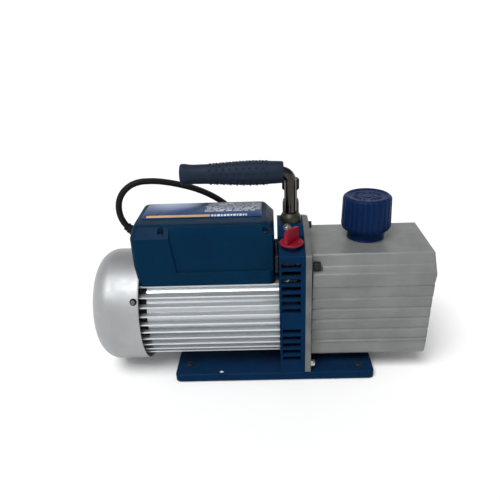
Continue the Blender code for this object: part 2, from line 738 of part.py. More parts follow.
def build_bracket():
    """Hollow cast bracket with air vents, its grey flange plate and the gasket."""
    centre = (0.0, 0.0, AXIS_Z)
    bracket = add_solid("bracket", prism(house_outline(), BRACKET_LEFT, BRACKET_RIGHT), "blue_paint")
    cavity = block(
        (BRACKET_LEFT + BRACKET_WALL, -HOUSE_HALF + 0.0060, BASE_TOP + 0.0080),
        (BRACKET_RIGHT - BRACKET_WALL, HOUSE_HALF - 0.0060, 0.1640),
    )
    combine(bracket, cavity)
    combine(bracket, disc(BRACKET_LEFT - 0.01, BRACKET_RIGHT + 0.01, BRACKET_BORE, centre))
    vents = []
    lips = [VENT_LOWEST_UPPER + VENT_PITCH * index for index in range(7)]
    lips += [VENT_LOWEST_LOWER + VENT_PITCH * index for index in range(5)]
    for lip in lips:
        low = (BRACKET_LEFT + 0.0025, -0.0800, lip)
        high = (BRACKET_RIGHT - 0.0050, 0.0800, lip + VENT_HEIGHT)
        vents.append(block(low, high))
    combine(bracket, merged(*vents))
    spot = disc(INTAKE_SEAT, RIDGE_TOP + 0.01, 0.0106, (INTAKE[0], INTAKE[1], 0.0), "Z")
    combine(bracket, spot)
    seat = disc(HOUSE_EAVE, KNOB_SEAT_TOP, KNOB_SEAT, (KNOB_FOOT[0], KNOB_FOOT[1], 0.0), "Z")
    combine(bracket, seat, "UNION")
    ledge_back = KNOB_FOOT[1] + KNOB_RADIUS + 0.0015
    ledge_low = (BRACKET_LEFT - 0.01, -HOUSE_HALF - 0.01, KNOB_SEAT_TOP)
    combine(bracket, block(ledge_low, (BRACKET_RIGHT + 0.01, ledge_back, RIDGE_TOP + 0.01)))

    flange_solid = prism(house_outline(), BRACKET_RIGHT + GAP, FLANGE_RIGHT)
    flange = add_solid("flange_plate", flange_solid, "flange_metal")
    combine(flange, disc(BRACKET_RIGHT - 0.01, FLANGE_RIGHT + 0.01, 0.0150, centre))

    gasket_solid = prism(case_outline(-0.0002), FLANGE_RIGHT + GAP, CASE_LEFT - GAP)
    gasket = add_solid("case_gasket", gasket_solid, "black_rubber")
    combine(gasket, prism(case_hollow(), FLANGE_RIGHT - 0.01, CASE_LEFT + 0.01))


def case_outline(grow=0.0):
    """The oil case's section: flat top, bulged shoulders and shingled sides."""
    right = [(0.0460, 0.0240), (0.0500, 0.0280), (0.0502, 0.0465)]
    lips = [0.0468 + 0.0150 * index for index in range(5)]
    for index, lip in enumerate(lips):
        reach = 0.0500 + 0.0010 * index
        right.append((reach + 0.0020, lip - 0.0012))
        right.append((reach + 0.0012, lip))
        if index < 4:
            right.append((reach, lip + 0.0006))
    right.append((0.0542, 0.1074))
    right.append((0.0562, 0.1225))
    right.append((0.0576, 0.1240))
    right.append((0.0603, 0.1372))
    right.append((0.0605, 0.1410))
    right.append((0.0590, 0.1424))
    right.append((0.0525, 0.1462))
    right.append((0.0510, 0.1478))
    right.append((0.0462, 0.1585))
    right.append((0.0445, CASE_TOP))
    outline = right + [(-y, z) for y, z in reversed(right)]
    return [(y + math.copysign(grow, y), z) for y, z in outline]


def case_hollow():
    """The section of the space inside the oil case."""
    corners = [
        (-0.0430, 0.0300, 0.004),
        (0.0430, 0.0300, 0.004),
        (0.0500, 0.1280, 0.004),
        (0.0400, CASE_TOP - CASE_WALL, 0.004),
        (-0.0400, CASE_TOP - CASE_WALL, 0.004),
        (-0.0500, 0.1280, 0.004),
    ]
    return fillet(corners, 2)


def build_oil_case():
    """Oil case with corner bolt pockets, sight glass, drain plug and the exhaust neck."""
    bm = prism(case_outline(), CASE_LEFT, CASE_RIGHT)
    end_edges = [
        edge
        for edge in bm.edges
        if all(abs(vert.co.x - CASE_RIGHT) < 1e-6 for vert in edge.verts)
    ]
    bmesh.ops.bevel(bm, geom=end_edges, offset=0.0012, segments=1, profile=0.5, affect="EDGES", material=-1)
    case = add_solid("oil_case", bm, "case_paint")
    combine(case, prism(case_hollow(), CASE_LEFT - 0.01, CASE_RIGHT - CASE_WALL))
    pockets = []
    for side in (-1.0, 1.0):
        near, far = sorted((side * 0.0500, side * 0.0800))
        pockets.append(block((CASE_LEFT - 0.01, near, 0.1440), (CASE_LEFT + 0.0110, far, 0.1700)))
    combine(case, merged(*pockets))
    combine(case, disc(0.1500, 0.1700, 0.0150, (EXHAUST[0], EXHAUST[1], 0.0), "Z"))
    sight = (0.0, 0.0000, 0.0800)
    combine(case, disc(CASE_RIGHT - 0.0100, CASE_RIGHT + 0.01, 0.0110, sight))
    drain = (0.0, 0.0000, 0.0400)
    combine(case, disc(CASE_RIGHT - 0.0200, CASE_RIGHT + 0.01, 0.0062, drain, segments=24))

    bezel_profile = [
        (CASE_RIGHT + GAP, 0.0107),
        (CASE_RIGHT + GAP, 0.0165),
        (CASE_RIGHT + 0.0025, 0.0165),
        (CASE_RIGHT + 0.0038, 0.0150),
        (CASE_RIGHT + 0.0038, 0.0107),
    ]
    add_solid("sight_bezel", turned(bezel_profile, sight, ring=True), "bright_steel")
    lens = disc(CASE_RIGHT - 0.0040, CASE_RIGHT + 0.0025, 0.0104, sight)
    add_solid("sight_lens", lens, "clear_glass")

    plug = disc(CASE_RIGHT - 0.0080, CASE_RIGHT + 0.0010, 0.0058, drain)
    drain_plug = add_solid("drain_plug", plug, "brass", (CASE_RIGHT, drain[1], drain[2]))
    hexagon = arc(drain[1:], 0.0085, 0.0, 300.0, 5)
    collar = disc(CASE_RIGHT + GAP, CASE_RIGHT + 0.0015, 0.0095, drain, segments=24)
    head = prism(hexagon, CASE_RIGHT + 0.0010, CASE_RIGHT + 0.0068)
    combine(drain_plug, merged(collar, head), "UNION")

    for side, hand in ((-1.0, "front"), (1.0, "rear")):
        upper = (0.0, side * 0.0560, 0.1510)
        head = disc(CASE_LEFT + GAP, CASE_LEFT + 0.0085, 0.0046, upper, segments=24, bevel=0.0006)
        add_solid(f"case_bolt_upper_{hand}", head, "black_metal")
        lower = (0.0, side * 0.0560, 0.0172)
        head = disc(FLANGE_RIGHT + GAP, FLANGE_RIGHT + 0.0060, 0.0046, lower, segments=24, bevel=0.0012)
        add_solid(f"case_bolt_lower_{hand}", head, "bright_steel")


def build_exhaust(carrier, cap_turn):
    """Exhaust neck on the case, its filter, and the fluted cap that screws over both."""
    place = (EXHAUST[0], EXHAUST[1], 0.0)
    neck_profile = [
        (CASE_TOP + GAP, 0.0170),
        (CASE_TOP + GAP, NECK_RADIUS),
        (CAP_BOTTOM - 0.0008, NECK_RADIUS),
        (CAP_BOTTOM - 0.0008, 0.0205),
        (NECK_TOP, 0.0205),
        (NECK_TOP, 0.0170),
    ]
    add_solid("exhaust_neck", turned(neck_profile, place, "Z", 32, ring=True), "cap_plastic")
    felt = disc(CAP_BOTTOM - 0.0040, CAP_TOP - 0.0060, 0.0160, place, "Z")
    add_solid("exhaust_filter", felt, "filter_felt", place_of(carrier), carrier)

    ribs = []
    for index in range(CAP_FLUTES):
        for share, depth in CAP_FLUTE_SHAPE:
            angle = 2.0 * math.pi * (index + share) / CAP_FLUTES
            radius = CAP_RADIUS - depth
            ribs.append((radius * math.cos(angle), radius * math.sin(angle)))
    rings = []
    heights = ((CAP_BOTTOM, 0.95), (CAP_BOTTOM + 0.0040, 1.0), (CAP_TOP - 0.0025, 0.968), (CAP_TOP, 0.925))
    for z, scale in heights:
        rings.append([(EXHAUST[0] + x * scale, EXHAUST[1] + y * scale, z) for x, y in ribs])
    cap = add_solid("exhaust_cap", loft(rings), "cap_plastic", place_of(cap_turn), cap_turn)
    combine(cap, disc(CAP_BOTTOM - 0.01, CAP_TOP - 0.0040, 0.0250, place, "Z"))


def build_module(drive):
    """Two eccentric stages: side plates, cylinders, shaft seal, slotted rotors and vanes."""
    centre = (0.0, 0.0, AXIS_Z)
    bore_centre = (0.0, 0.0, AXIS_Z - ECCENTRICITY)
    turn_point = place_of(drive)
    plates = {"seal_plate": SEAL_PLATE, "centre_plate": CENTRE_PLATE, "end_cover": END_COVER}
    for name, (start, end) in plates.items():
        bore = 0.0115 if name == "seal_plate" else 0.0074
        add_solid(name, tube(start, end, bore, MODULE_RADIUS, centre), "cast_iron")
    seal = tube(SEAL_PLATE[0] + 0.0005, SEAL_PLATE[1] - 0.0005, 0.0074, 0.0112, centre)
    add_solid("shaft_seal", seal, "black_rubber")

    side = 0.0004
    for stage, (start, end) in STAGES.items():
        body = disc(start, end, MODULE_RADIUS, centre)
        cylinder = add_solid(f"cylinder_{stage}", body, "cast_iron")
        combine(cylinder, disc(start - 0.01, end + 0.01, VANE_BORE, bore_centre, segments=40))
        rotor_bm = disc(start + side, end - side, ROTOR_RADIUS, centre)
        rotor = add_solid(f"rotor_{stage}", rotor_bm, "bright_steel", turn_point, drive)
        slot_half = VANE_THICK / 2.0 + GAP
        slots = []
        for hand in (-1.0, 1.0):
            near, far = sorted((hand * SLOT_WEB, hand * 0.0300))
            low = (start - 0.001, near, AXIS_Z - slot_half)
            slots.append(block(low, (end + 0.001, far, AXIS_Z + slot_half)))
        combine(rotor, merged(*slots))
        for hand, letter in ((-1.0, "a"), (1.0, "b")):
            near, far = sorted((hand * (SLOT_WEB + GAP), hand * (ROTOR_RADIUS - 0.0006)))
            low = (start + 2.0 * side, near, AXIS_Z - VANE_THICK / 2.0)
            high = (end - 2.0 * side, far, AXIS_Z + VANE_THICK / 2.0)
            place = ((start + end) / 2.0, 0.0, AXIS_Z)
            add_solid(f"vane_{stage}_{letter}", block(low, high), "composite", place)

    bite = side + GAP
    high_rotor = bpy.data.objects["rotor_high"]
    input_shaft = disc(0.0334, STAGES["high"][0] + bite, 0.0062, centre, segments=24)
    stub = disc(STAGES["high"][1] - bite, 0.1010, 0.0062, centre, segments=24)
    combine(high_rotor, merged(input_shaft, stub), "UNION")
    low_rotor = bpy.data.objects["rotor_low"]
    front_stub = disc(0.1013, STAGES["low"][0] + bite, 0.0062, centre, segments=24)
    rear_stub = disc(STAGES["low"][1] - bite, END_COVER[1], 0.0062, centre, segments=24)
    combine(low_rotor, merged(front_stub, rear_stub), "UNION")


def build_intake():
    """Intake fitting behind the handle rod, with its dust cap."""
    x, y = INTAKE
    place = (x, y, 0.0)
    profile = [
        (INTAKE_SEAT + GAP, 0.0),
        (INTAKE_SEAT + GAP, 0.0100),
        (0.2020, 0.0100),
        (0.2035, 0.0080),
        (0.2150, 0.0080),
        (0.2150, 0.0060),
        (0.2240, 0.0060),
        (0.2240, 0.0),
    ]
    add_solid("intake_body", turned(profile, place, "Z"), "brass")
    cap_profile = [
        (0.2154, 0.0064),
        (0.2154, 0.0098),
        (0.2164, 0.0104),
        (0.2270, 0.0104),
        (0.2282, 0.0092),
        (0.2282, 0.0),
        (0.2244, 0.0),
        (0.2244, 0.0064),
    ]
    add_solid("intake_cap", turned(cap_profile, place, "Z", ring=True), "black_plastic", (x, y, 0.2200))


def build_ballast_knob():
    """Gas ballast knob on its seat at the roof's front, turned about an upright axis."""
    place = Vector((KNOB_FOOT[0], KNOB_FOOT[1], KNOB_SEAT_TOP))
    profile = [
        (GAP, 0.0),
        (GAP, 0.0070),
        (0.0013, 0.0070),
        (0.0013, KNOB_RADIUS - 0.0008),
        (0.0021, KNOB_RADIUS),
        (0.0035, KNOB_RADIUS),
        (0.0043, KNOB_RADIUS - 0.0008),
        (0.0043, 0.0),
    ]
    bm = turned(profile, place, "Z", 32)
    knob = add_solid("ballast_knob", bm, "red_plastic", place)
    wing_outline = [
        (-KNOB_WING_HALF, 0.0040),
        (KNOB_WING_HALF, 0.0040),
        (KNOB_WING_HALF - 0.0014, KNOB_HEIGHT - 0.0012),
        (KNOB_WING_HALF - 0.0030, KNOB_HEIGHT),
        (-KNOB_WING_HALF + 0.0030, KNOB_HEIGHT),
        (-KNOB_WING_HALF + 0.0014, KNOB_HEIGHT - 0.0012),
    ]
    wing = prism(wing_outline, -KNOB_WING_THICK / 2.0, KNOB_WING_THICK / 2.0, "Y")
    turn = Matrix.Rotation(math.radians(KNOB_WING_TURN), 3, "Z")
    bmesh.ops.rotate(wing, verts=wing.verts, cent=(0.0, 0.0, 0.0), matrix=turn)
    bmesh.ops.translate(wing, verts=wing.verts, vec=place)
    combine(knob, wing, "UNION")


def ring_along(route, index, radius, sides):
    """A ring of points round a route at one of its points."""
    before = route[max(index - 1, 0)]
    after = route[min(index + 1, len(route) - 1)]
    forward = (after - before).normalized()
    across = forward.cross(Vector((0.0, 1.0, 0.0))).normalized()
    up = across.cross(forward)
    ring = []
    for step in range(sides):
        angle = 2.0 * math.pi * step / sides
        ring.append(route[index] + radius * (math.cos(angle) * across + math.sin(angle) * up))
    return ring


def build_handle():
    """Bent handle rod with its collar and the ribbed grip."""
    corner = (ROD_X - ROD_BEND, GRIP_Z - ROD_BEND)
    path = [(ROD_X, RIDGE_TOP + GAP)]
    path += arc(corner, ROD_BEND, 0.0, 90.0, 6)
    path.append((GRIP_LEFT + 0.0060, GRIP_Z))
    route = [Vector((x, 0.0, z)) for x, z in path]
    rings = [ring_along(route, index, ROD_RADIUS, 16) for index in range(len(route))]
    add_solid("handle_rod", loft(rings), "dark_steel")

    grip_profile = [
        (GRIP_LEFT + 0.0055, 0.0),
        (GRIP_LEFT, 0.0),
        (GRIP_LEFT, 0.0110),
        (GRIP_LEFT + 0.0015, 0.0122),
        (GRIP_LEFT + 0.0060, 0.0122),
        (GRIP_LEFT + 0.0120, 0.0110),
        (-0.0600, 0.0112),
        (-0.0350, 0.0125),
        (-0.0080, 0.0136),
        (0.0120, 0.0130),
        (0.0250, 0.0124),
        (GRIP_RIGHT, 0.0112),
        (GRIP_RIGHT, ROD_RADIUS + 0.0022),
        (GRIP_RIGHT - 0.0060, ROD_RADIUS + 0.0005),
        (GRIP_LEFT + 0.0055, ROD_RADIUS + 0.0005),
    ]
    grip = turned(grip_profile, (0.0, 0.0, GRIP_Z), ring=True)
    add_solid("handle_grip", grip, "grip_rubber")

    collar_profile = [
        (RIDGE_TOP + GAP, ROD_RADIUS + GAP),
        (RIDGE_TOP + GAP, 0.0122),
        (RIDGE_TOP + COLLAR_HEIGHT - 0.0036, 0.0122),
        (RIDGE_TOP + COLLAR_HEIGHT, 0.0098),
        (RIDGE_TOP + COLLAR_HEIGHT, ROD_RADIUS + GAP),
    ]
    collar = turned(collar_profile, (ROD_X, 0.0, 0.0), "Z", ring=True)
    add_solid("handle_collar", collar, "brass")


def build_cord():
    """Supply cord: tapered sleeve on the box, free run, coil behind the pump and the plug."""
    route = smooth_route(CORD_ROUTE, CORD_SPACING)
    sleeve_count = 3
    rings = []
    for index in range(sleeve_count):
        share = index / (sleeve_count - 1)
        rings.append(ring_along(route, index, SLEEVE_START - SLEEVE_TAPER * share, 16))
    rings[0] = [(GLAND_X - GAP, point.y, point.z) for point in rings[0]]
    add_solid("cord_sleeve", loft(rings), "black_rubber")

    start = route[sleeve_count - 1]
    lead = (route[sleeve_count] - start).normalized()
    points = [start + lead * 3.0 * GAP] + route[sleeve_count:]
    curve = bpy.data.curves.new("supply_cord", "CURVE")
    curve.dimensions = "3D"
    curve.bevel_depth = CORD_RADIUS
    curve.bevel_resolution = 2
    curve.use_fill_caps = True
    spline = curve.splines.new("POLY")
    spline.points.add(len(points) - 1)
    for slot, point in zip(spline.points, points):
        slot.co = (*point, 1.0)
    curve.materials.append(make_material("black_rubber", "supply_cord"))
    cord = bpy.data.objects.new("supply_cord", curve)
    bpy.context.scene.collection.objects.link(cord)

    x, y = COIL_CENTRE
    low = (0.0, COIL_MEAN - COIL_HALF)
    high = (COIL_HEIGHT, COIL_MEAN + COIL_HALF)
    section = fillet(rectangle(low, high, CORD_RADIUS), 1)
    add_solid("cord_coil", turned(section, (x, y, 0.0002), "Z", 30, ring=True), "black_rubber")

    px, py = PLUG_CENTRE
    outline = fillet(rectangle((px - 0.0180, py - 0.0120), (px + 0.0180, py + 0.0120), 0.006), 3)
    plug = add_solid("cord_plug", prism(outline, 0.0002, 0.0200, "Z"), "black_plastic")
    line = (0.0, py, 0.0101)
    neck_profile = [(px + 0.0160, 0.0), (px + 0.0160, 0.0068), (px + 0.0300, 0.0046), (px + 0.0300, 0.0)]
    neck = turned(neck_profile, line)
    pins = [
        disc(px - 0.0370, px - 0.0160, 0.0022, (0.0, py + hand * 0.0070, 0.0101), segments=12)
        for hand in (-1.0, 1.0)
    ]
    combine(plug, merged(neck, *pins), "UNION")


def build():
    """Model every piece of the pump."""
    clear_scene()
    drive = add_empty("drive_axis", (0.0, 0.0, AXIS_Z))
    carrier = add_empty("exhaust_lift", (EXHAUST[0], EXHAUST[1], CAP_BOTTOM))
    cap_turn = add_empty("exhaust_turn", (EXHAUST[0], EXHAUST[1], CAP_BOTTOM), carrier)
    build_base()
    build_motor_frame()
    build_motor_inside(drive)
    build_terminal_box((-0.0180, 0.1640))
    build_bracket()
    build_oil_case()
    build_exhaust(carrier, cap_turn)
    build_module(drive)
    build_intake()
    build_ballast_knob()
    build_handle()
    build_cord()


build()
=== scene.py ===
"""Looks of a two-stage rotary vane vacuum pump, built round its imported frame.

Lengths are metres.  +X runs along the shaft from the motor's fan to the oil case, +Z is up, and
the terminal box's panelled side faces -Y.
"""

import json
import logging
import math
import random
from collections.abc import Callable, Iterable, Sequence
from dataclasses import dataclass, field
from enum import Enum

import bmesh
import bpy
from mathutils import Matrix, Vector

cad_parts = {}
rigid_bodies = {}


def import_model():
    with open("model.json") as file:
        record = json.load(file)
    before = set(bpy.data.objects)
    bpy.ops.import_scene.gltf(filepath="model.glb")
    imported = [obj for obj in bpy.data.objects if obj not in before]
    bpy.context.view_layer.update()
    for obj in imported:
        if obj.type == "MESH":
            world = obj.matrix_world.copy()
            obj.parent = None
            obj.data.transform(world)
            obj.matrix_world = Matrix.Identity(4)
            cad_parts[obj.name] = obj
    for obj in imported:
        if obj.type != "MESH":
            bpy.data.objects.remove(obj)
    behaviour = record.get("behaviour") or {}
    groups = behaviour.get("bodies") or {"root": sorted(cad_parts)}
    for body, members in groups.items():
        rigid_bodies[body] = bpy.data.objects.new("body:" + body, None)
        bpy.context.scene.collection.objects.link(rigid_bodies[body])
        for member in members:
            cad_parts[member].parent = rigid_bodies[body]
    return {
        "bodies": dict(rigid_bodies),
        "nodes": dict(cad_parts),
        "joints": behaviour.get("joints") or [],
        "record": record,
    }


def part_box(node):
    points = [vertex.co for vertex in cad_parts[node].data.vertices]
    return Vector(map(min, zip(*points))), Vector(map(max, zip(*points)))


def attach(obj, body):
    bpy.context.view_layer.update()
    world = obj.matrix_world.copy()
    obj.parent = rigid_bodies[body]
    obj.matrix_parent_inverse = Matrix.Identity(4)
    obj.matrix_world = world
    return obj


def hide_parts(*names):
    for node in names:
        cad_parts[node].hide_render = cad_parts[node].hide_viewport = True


Point = tuple[float, float, float]
Pair = tuple[float, float]
Colour = tuple[float, float, float]

LOG = logging.getLogger("vacuum_pump")


class Axis(Enum):
    """The direction that a turned or a straight-run shape follows."""

    X = "X"
    Y = "Y"
    Z = "Z"

    def turn(self) -> Matrix:
        """Return the rotation that carries a shape drawn along X onto this axis."""
        if self is Axis.Y:
            return Matrix.Rotation(math.pi / 2.0, 4, "Z")
        if self is Axis.Z:
            return Matrix.Rotation(-math.pi / 2.0, 4, "Y")
        return Matrix.Identity(4)

    def point(self, along: float, a: float, b: float) -> Point:
        """Return the point at a distance along this axis, with its two other coordinates."""
        if self is Axis.X:
            return (along, a, b)
        if self is Axis.Y:
            return (a, along, b)
        return (a, b, along)


class ScrewDrive(Enum):
    """The shape that a tool turns a screw by."""

    CROSS = "cross"
    SOCKET = "socket"
    HEX = "hex"


@dataclass(frozen=True)
class Finish:
    """A surface finish, with its colours, gloss, grain and marks.

    The pattern lies in the pump's own coordinates, so it keeps its scale on every piece.
    """

    name: str
    colour: Colour
    shade: Colour
    roughness: Pair = (0.35, 0.50)
    metallic: float = 0.0
    blotch_scale: float = 22.0
    stretch: Point = (1.0, 1.0, 1.0)
    grain_scale: float = 700.0
    grain_depth: float = 0.00004
    speck_colour: Colour = (0.30, 0.30, 0.30)
    speck_scale: float = 160.0
    speck_limit: float = 1.0
    coat: float = 0.0
    coat_roughness: float = 0.2
    specular: float = 0.5
    dust: float = 0.0

    def material(self) -> bpy.types.Material:
        """Return this finish's material, made the first time that it is asked for.

        Returns:
            The procedural material.
        """
        label = f"{self.name}_look"
        found = bpy.data.materials.get(label)
        if found is not None:
            return found
        made = bpy.data.materials.new(label)
        made.use_nodes = True
        tree = made.node_tree
        shader = tree.nodes["Principled BSDF"]
        shader.inputs["Metallic"].default_value = self.metallic
        shader.inputs["Coat Weight"].default_value = self.coat
        shader.inputs["Coat Roughness"].default_value = self.coat_roughness
        shader.inputs["Specular IOR Level"].default_value = self.specular
        place = self._place(tree)
        self._colouring(tree, shader, place)
        self._gloss(tree, shader, place)
        self._grain(tree, shader, place)
        return made

    def _place(self, tree: bpy.types.NodeTree) -> bpy.types.NodeSocket:
        """Return the piece's own coordinates, drawn out along its grain."""
        coords = tree.nodes.new("ShaderNodeTexCoord")
        mapping = tree.nodes.new("ShaderNodeMapping")
        mapping.inputs["Scale"].default_value = self.stretch
        tree.links.new(coords.outputs["Object"], mapping.inputs["Vector"])
        return mapping.outputs["Vector"]

    @staticmethod
    def _noise(
        tree: bpy.types.NodeTree, place: bpy.types.NodeSocket, scale: float, detail: float
    ) -> bpy.types.NodeSocket:
        """Add a noise pattern and return its level.

        Args:
            tree: The material's node tree.
            place: The coordinates that the pattern lies in.
            scale: How many of its features lie in a metre.
            detail: How many finer layers it has.

        Returns:
            The pattern's level, from 0 to 1.
        """
        noise = tree.nodes.new("ShaderNodeTexNoise")
        noise.inputs["Scale"].default_value = scale
        noise.inputs["Detail"].default_value = detail
        tree.links.new(place, noise.inputs["Vector"])
        return noise.outputs[0]

    @staticmethod
    def _range(
        tree: bpy.types.NodeTree, level: bpy.types.NodeSocket, source: Pair, target: Pair
    ) -> bpy.types.NodeSocket:
        """Carry a level from one range to another and return it.

        Args:
            tree: The material's node tree.
            level: The level to carry over.
            source: The range that it is read from.
            target: The range that it is carried to.

        Returns:
            The new level.
        """
        carried = tree.nodes.new("ShaderNodeMapRange")
        carried.inputs["From Min"].default_value = source[0]
        carried.inputs["From Max"].default_value = source[1]
        carried.inputs["To Min"].default_value = target[0]
        carried.inputs["To Max"].default_value = target[1]
        tree.links.new(level, carried.inputs["Value"])
        return carried.outputs["Result"]

    @staticmethod
    def _mixed(
        tree: bpy.types.NodeTree,
        share: bpy.types.NodeSocket,
        first: bpy.types.NodeSocket | Colour,
        second: bpy.types.NodeSocket | Colour,
    ) -> bpy.types.NodeSocket:
        """Mix two colours and return the result.

        Args:
            tree: The material's node tree.
            share: The share of the second colour.
            first: A colour, or the socket that gives it.
            second: The other colour, or the socket that gives it.

        Returns:
            The mixed colour.
        """
        mix = tree.nodes.new("ShaderNodeMix")
        mix.data_type = "RGBA"
        tree.links.new(share, mix.inputs["Factor"])
        for socket, value in ((mix.inputs[6], first), (mix.inputs[7], second)):
            if isinstance(value, bpy.types.NodeSocket):
                tree.links.new(value, socket)
            else:
                socket.default_value = (*value, 1.0)
        return mix.outputs[2]

    def _colouring(
        self, tree: bpy.types.NodeTree, shader: bpy.types.Node, place: bpy.types.NodeSocket
    ) -> None:
        """Lay the two colours in blotches, then the specks and the dust.

        Args:
            tree: The material's node tree.
            shader: The surface shader.
            place: The coordinates that the pattern lies in.
        """
        blotch = self._noise(tree, place, self.blotch_scale, 4.0)
        share = self._range(tree, blotch, (0.35, 0.65), (0.0, 1.0))
        colour = self._mixed(tree, share, self.colour, self.shade)
        if self.speck_limit < 1.0:
            specks = self._noise(tree, place, self.speck_scale, 2.0)
            limits = (self.speck_limit, self.speck_limit + 0.03)
            share = self._range(tree, specks, limits, (0.0, 1.0))
            colour = self._mixed(tree, share, colour, self.speck_colour)
        if self.dust > 0.0:
            colour = self._dusted(tree, place, colour)
        tree.links.new(colour, shader.inputs["Base Color"])

    def _dusted(
        self, tree: bpy.types.NodeTree, place: bpy.types.NodeSocket, colour: bpy.types.NodeSocket
    ) -> bpy.types.NodeSocket:
        """Lay thin dust on what faces up.

        Args:
            tree: The material's node tree.
            place: The coordinates that the pattern lies in.
            colour: The colour under the dust.

        Returns:
            The dusted colour.
        """
        facing = tree.nodes.new("ShaderNodeNewGeometry")
        split = tree.nodes.new("ShaderNodeSeparateXYZ")
        tree.links.new(facing.outputs["Normal"], split.inputs["Vector"])
        upward = self._range(tree, split.outputs["Z"], (0.55, 1.0), (0.0, self.dust))
        patchy = self._range(tree, self._noise(tree, place, 60.0, 6.0), (0.3, 0.7), (0.35, 1.0))
        share = tree.nodes.new("ShaderNodeMath")
        share.operation = "MULTIPLY"
        tree.links.new(upward, share.inputs[0])
        tree.links.new(patchy, share.inputs[1])
        return self._mixed(tree, share.outputs[0], colour, (0.42, 0.41, 0.38))

    def _gloss(
        self, tree: bpy.types.NodeTree, shader: bpy.types.Node, place: bpy.types.NodeSocket
    ) -> None:
        """Vary the roughness over the surface, as handling and casting do.

        Args:
            tree: The material's node tree.
            shader: The surface shader.
            place: The coordinates that the pattern lies in.
        """
        level = self._noise(tree, place, self.blotch_scale * 3.0, 6.0)
        rough = self._range(tree, level, (0.3, 0.7), self.roughness)
        tree.links.new(rough, shader.inputs["Roughness"])

    def _grain(
        self, tree: bpy.types.NodeTree, shader: bpy.types.Node, place: bpy.types.NodeSocket
    ) -> None:
        """Raise the fine grain of the surface.

        Args:
            tree: The material's node tree.
            shader: The surface shader.
            place: The coordinates that the pattern lies in.
        """
        bump = tree.nodes.new("ShaderNodeBump")
        bump.inputs["Distance"].default_value = self.grain_depth
        bump.inputs["Strength"].default_value = 1.0
        tree.links.new(self._noise(tree, place, self.grain_scale, 3.0), bump.inputs["Height"])
        tree.links.new(bump.outputs["Normal"], shader.inputs["Normal"])


@dataclass(frozen=True)
class LabelFinish(Finish):
    """Printed blue film with a painted highlight, pale at one corner and going over to full blue away
    from it.
    """

    pale: Colour = (0.42, 0.52, 0.68)
    highlight_from: Point = (-0.1100, 0.0480, 0.1975)
    highlight_reach: float = 0.0420

    def _colouring(
        self, tree: bpy.types.NodeTree, shader: bpy.types.Node, place: bpy.types.NodeSocket
    ) -> None:
        """Paint the pale highlight round its corner, going over to the blue print, with soft streaks.

        Args:
            tree: The material's node tree.
            shader: The surface shader.
            place: The coordinates that the pattern lies in.
        """
        # The pale corner is a painted highlight laid over the print, fading out with distance from that
        # corner.
        away = tree.nodes.new("ShaderNodeVectorMath")
        away.operation = "DISTANCE"
        away.inputs[1].default_value = self.highlight_from
        tree.links.new(place, away.inputs[0])
        share = self._range(tree, away.outputs["Value"], (0.0, self.highlight_reach), (0.0, 1.0))
        blotch = self._noise(tree, place, self.blotch_scale, 4.0)
        body = self._mixed(tree, blotch, self.colour, self.shade)
        tree.links.new(self._mixed(tree, share, self.pale, body), shader.inputs["Base Color"])


@dataclass(frozen=True)
class GlassFinish(Finish):
    """Sight glass with amber oil standing behind its lower half."""

    oil: Colour = (0.55, 0.33, 0.05)
    level: float = 0.0800

    def _colouring(
        self, tree: bpy.types.NodeTree, shader: bpy.types.Node, place: bpy.types.NodeSocket
    ) -> None:
        """Colour the glass by oil below the level and by air above it.

        Args:
            tree: The material's node tree.
            shader: The surface shader.
            place: The coordinates that the pattern lies in.
        """
        split = tree.nodes.new("ShaderNodeSeparateXYZ")
        tree.links.new(place, split.inputs["Vector"])
        limits = (self.level - 0.0004, self.level + 0.0004)
        share = self._range(tree, split.outputs["Z"], limits, (0.0, 1.0))
        blotch = self._noise(tree, place, self.blotch_scale, 3.0)
        air = self._mixed(tree, blotch, self.colour, self.shade)
        tree.links.new(self._mixed(tree, share, self.oil, air), shader.inputs["Base Color"])


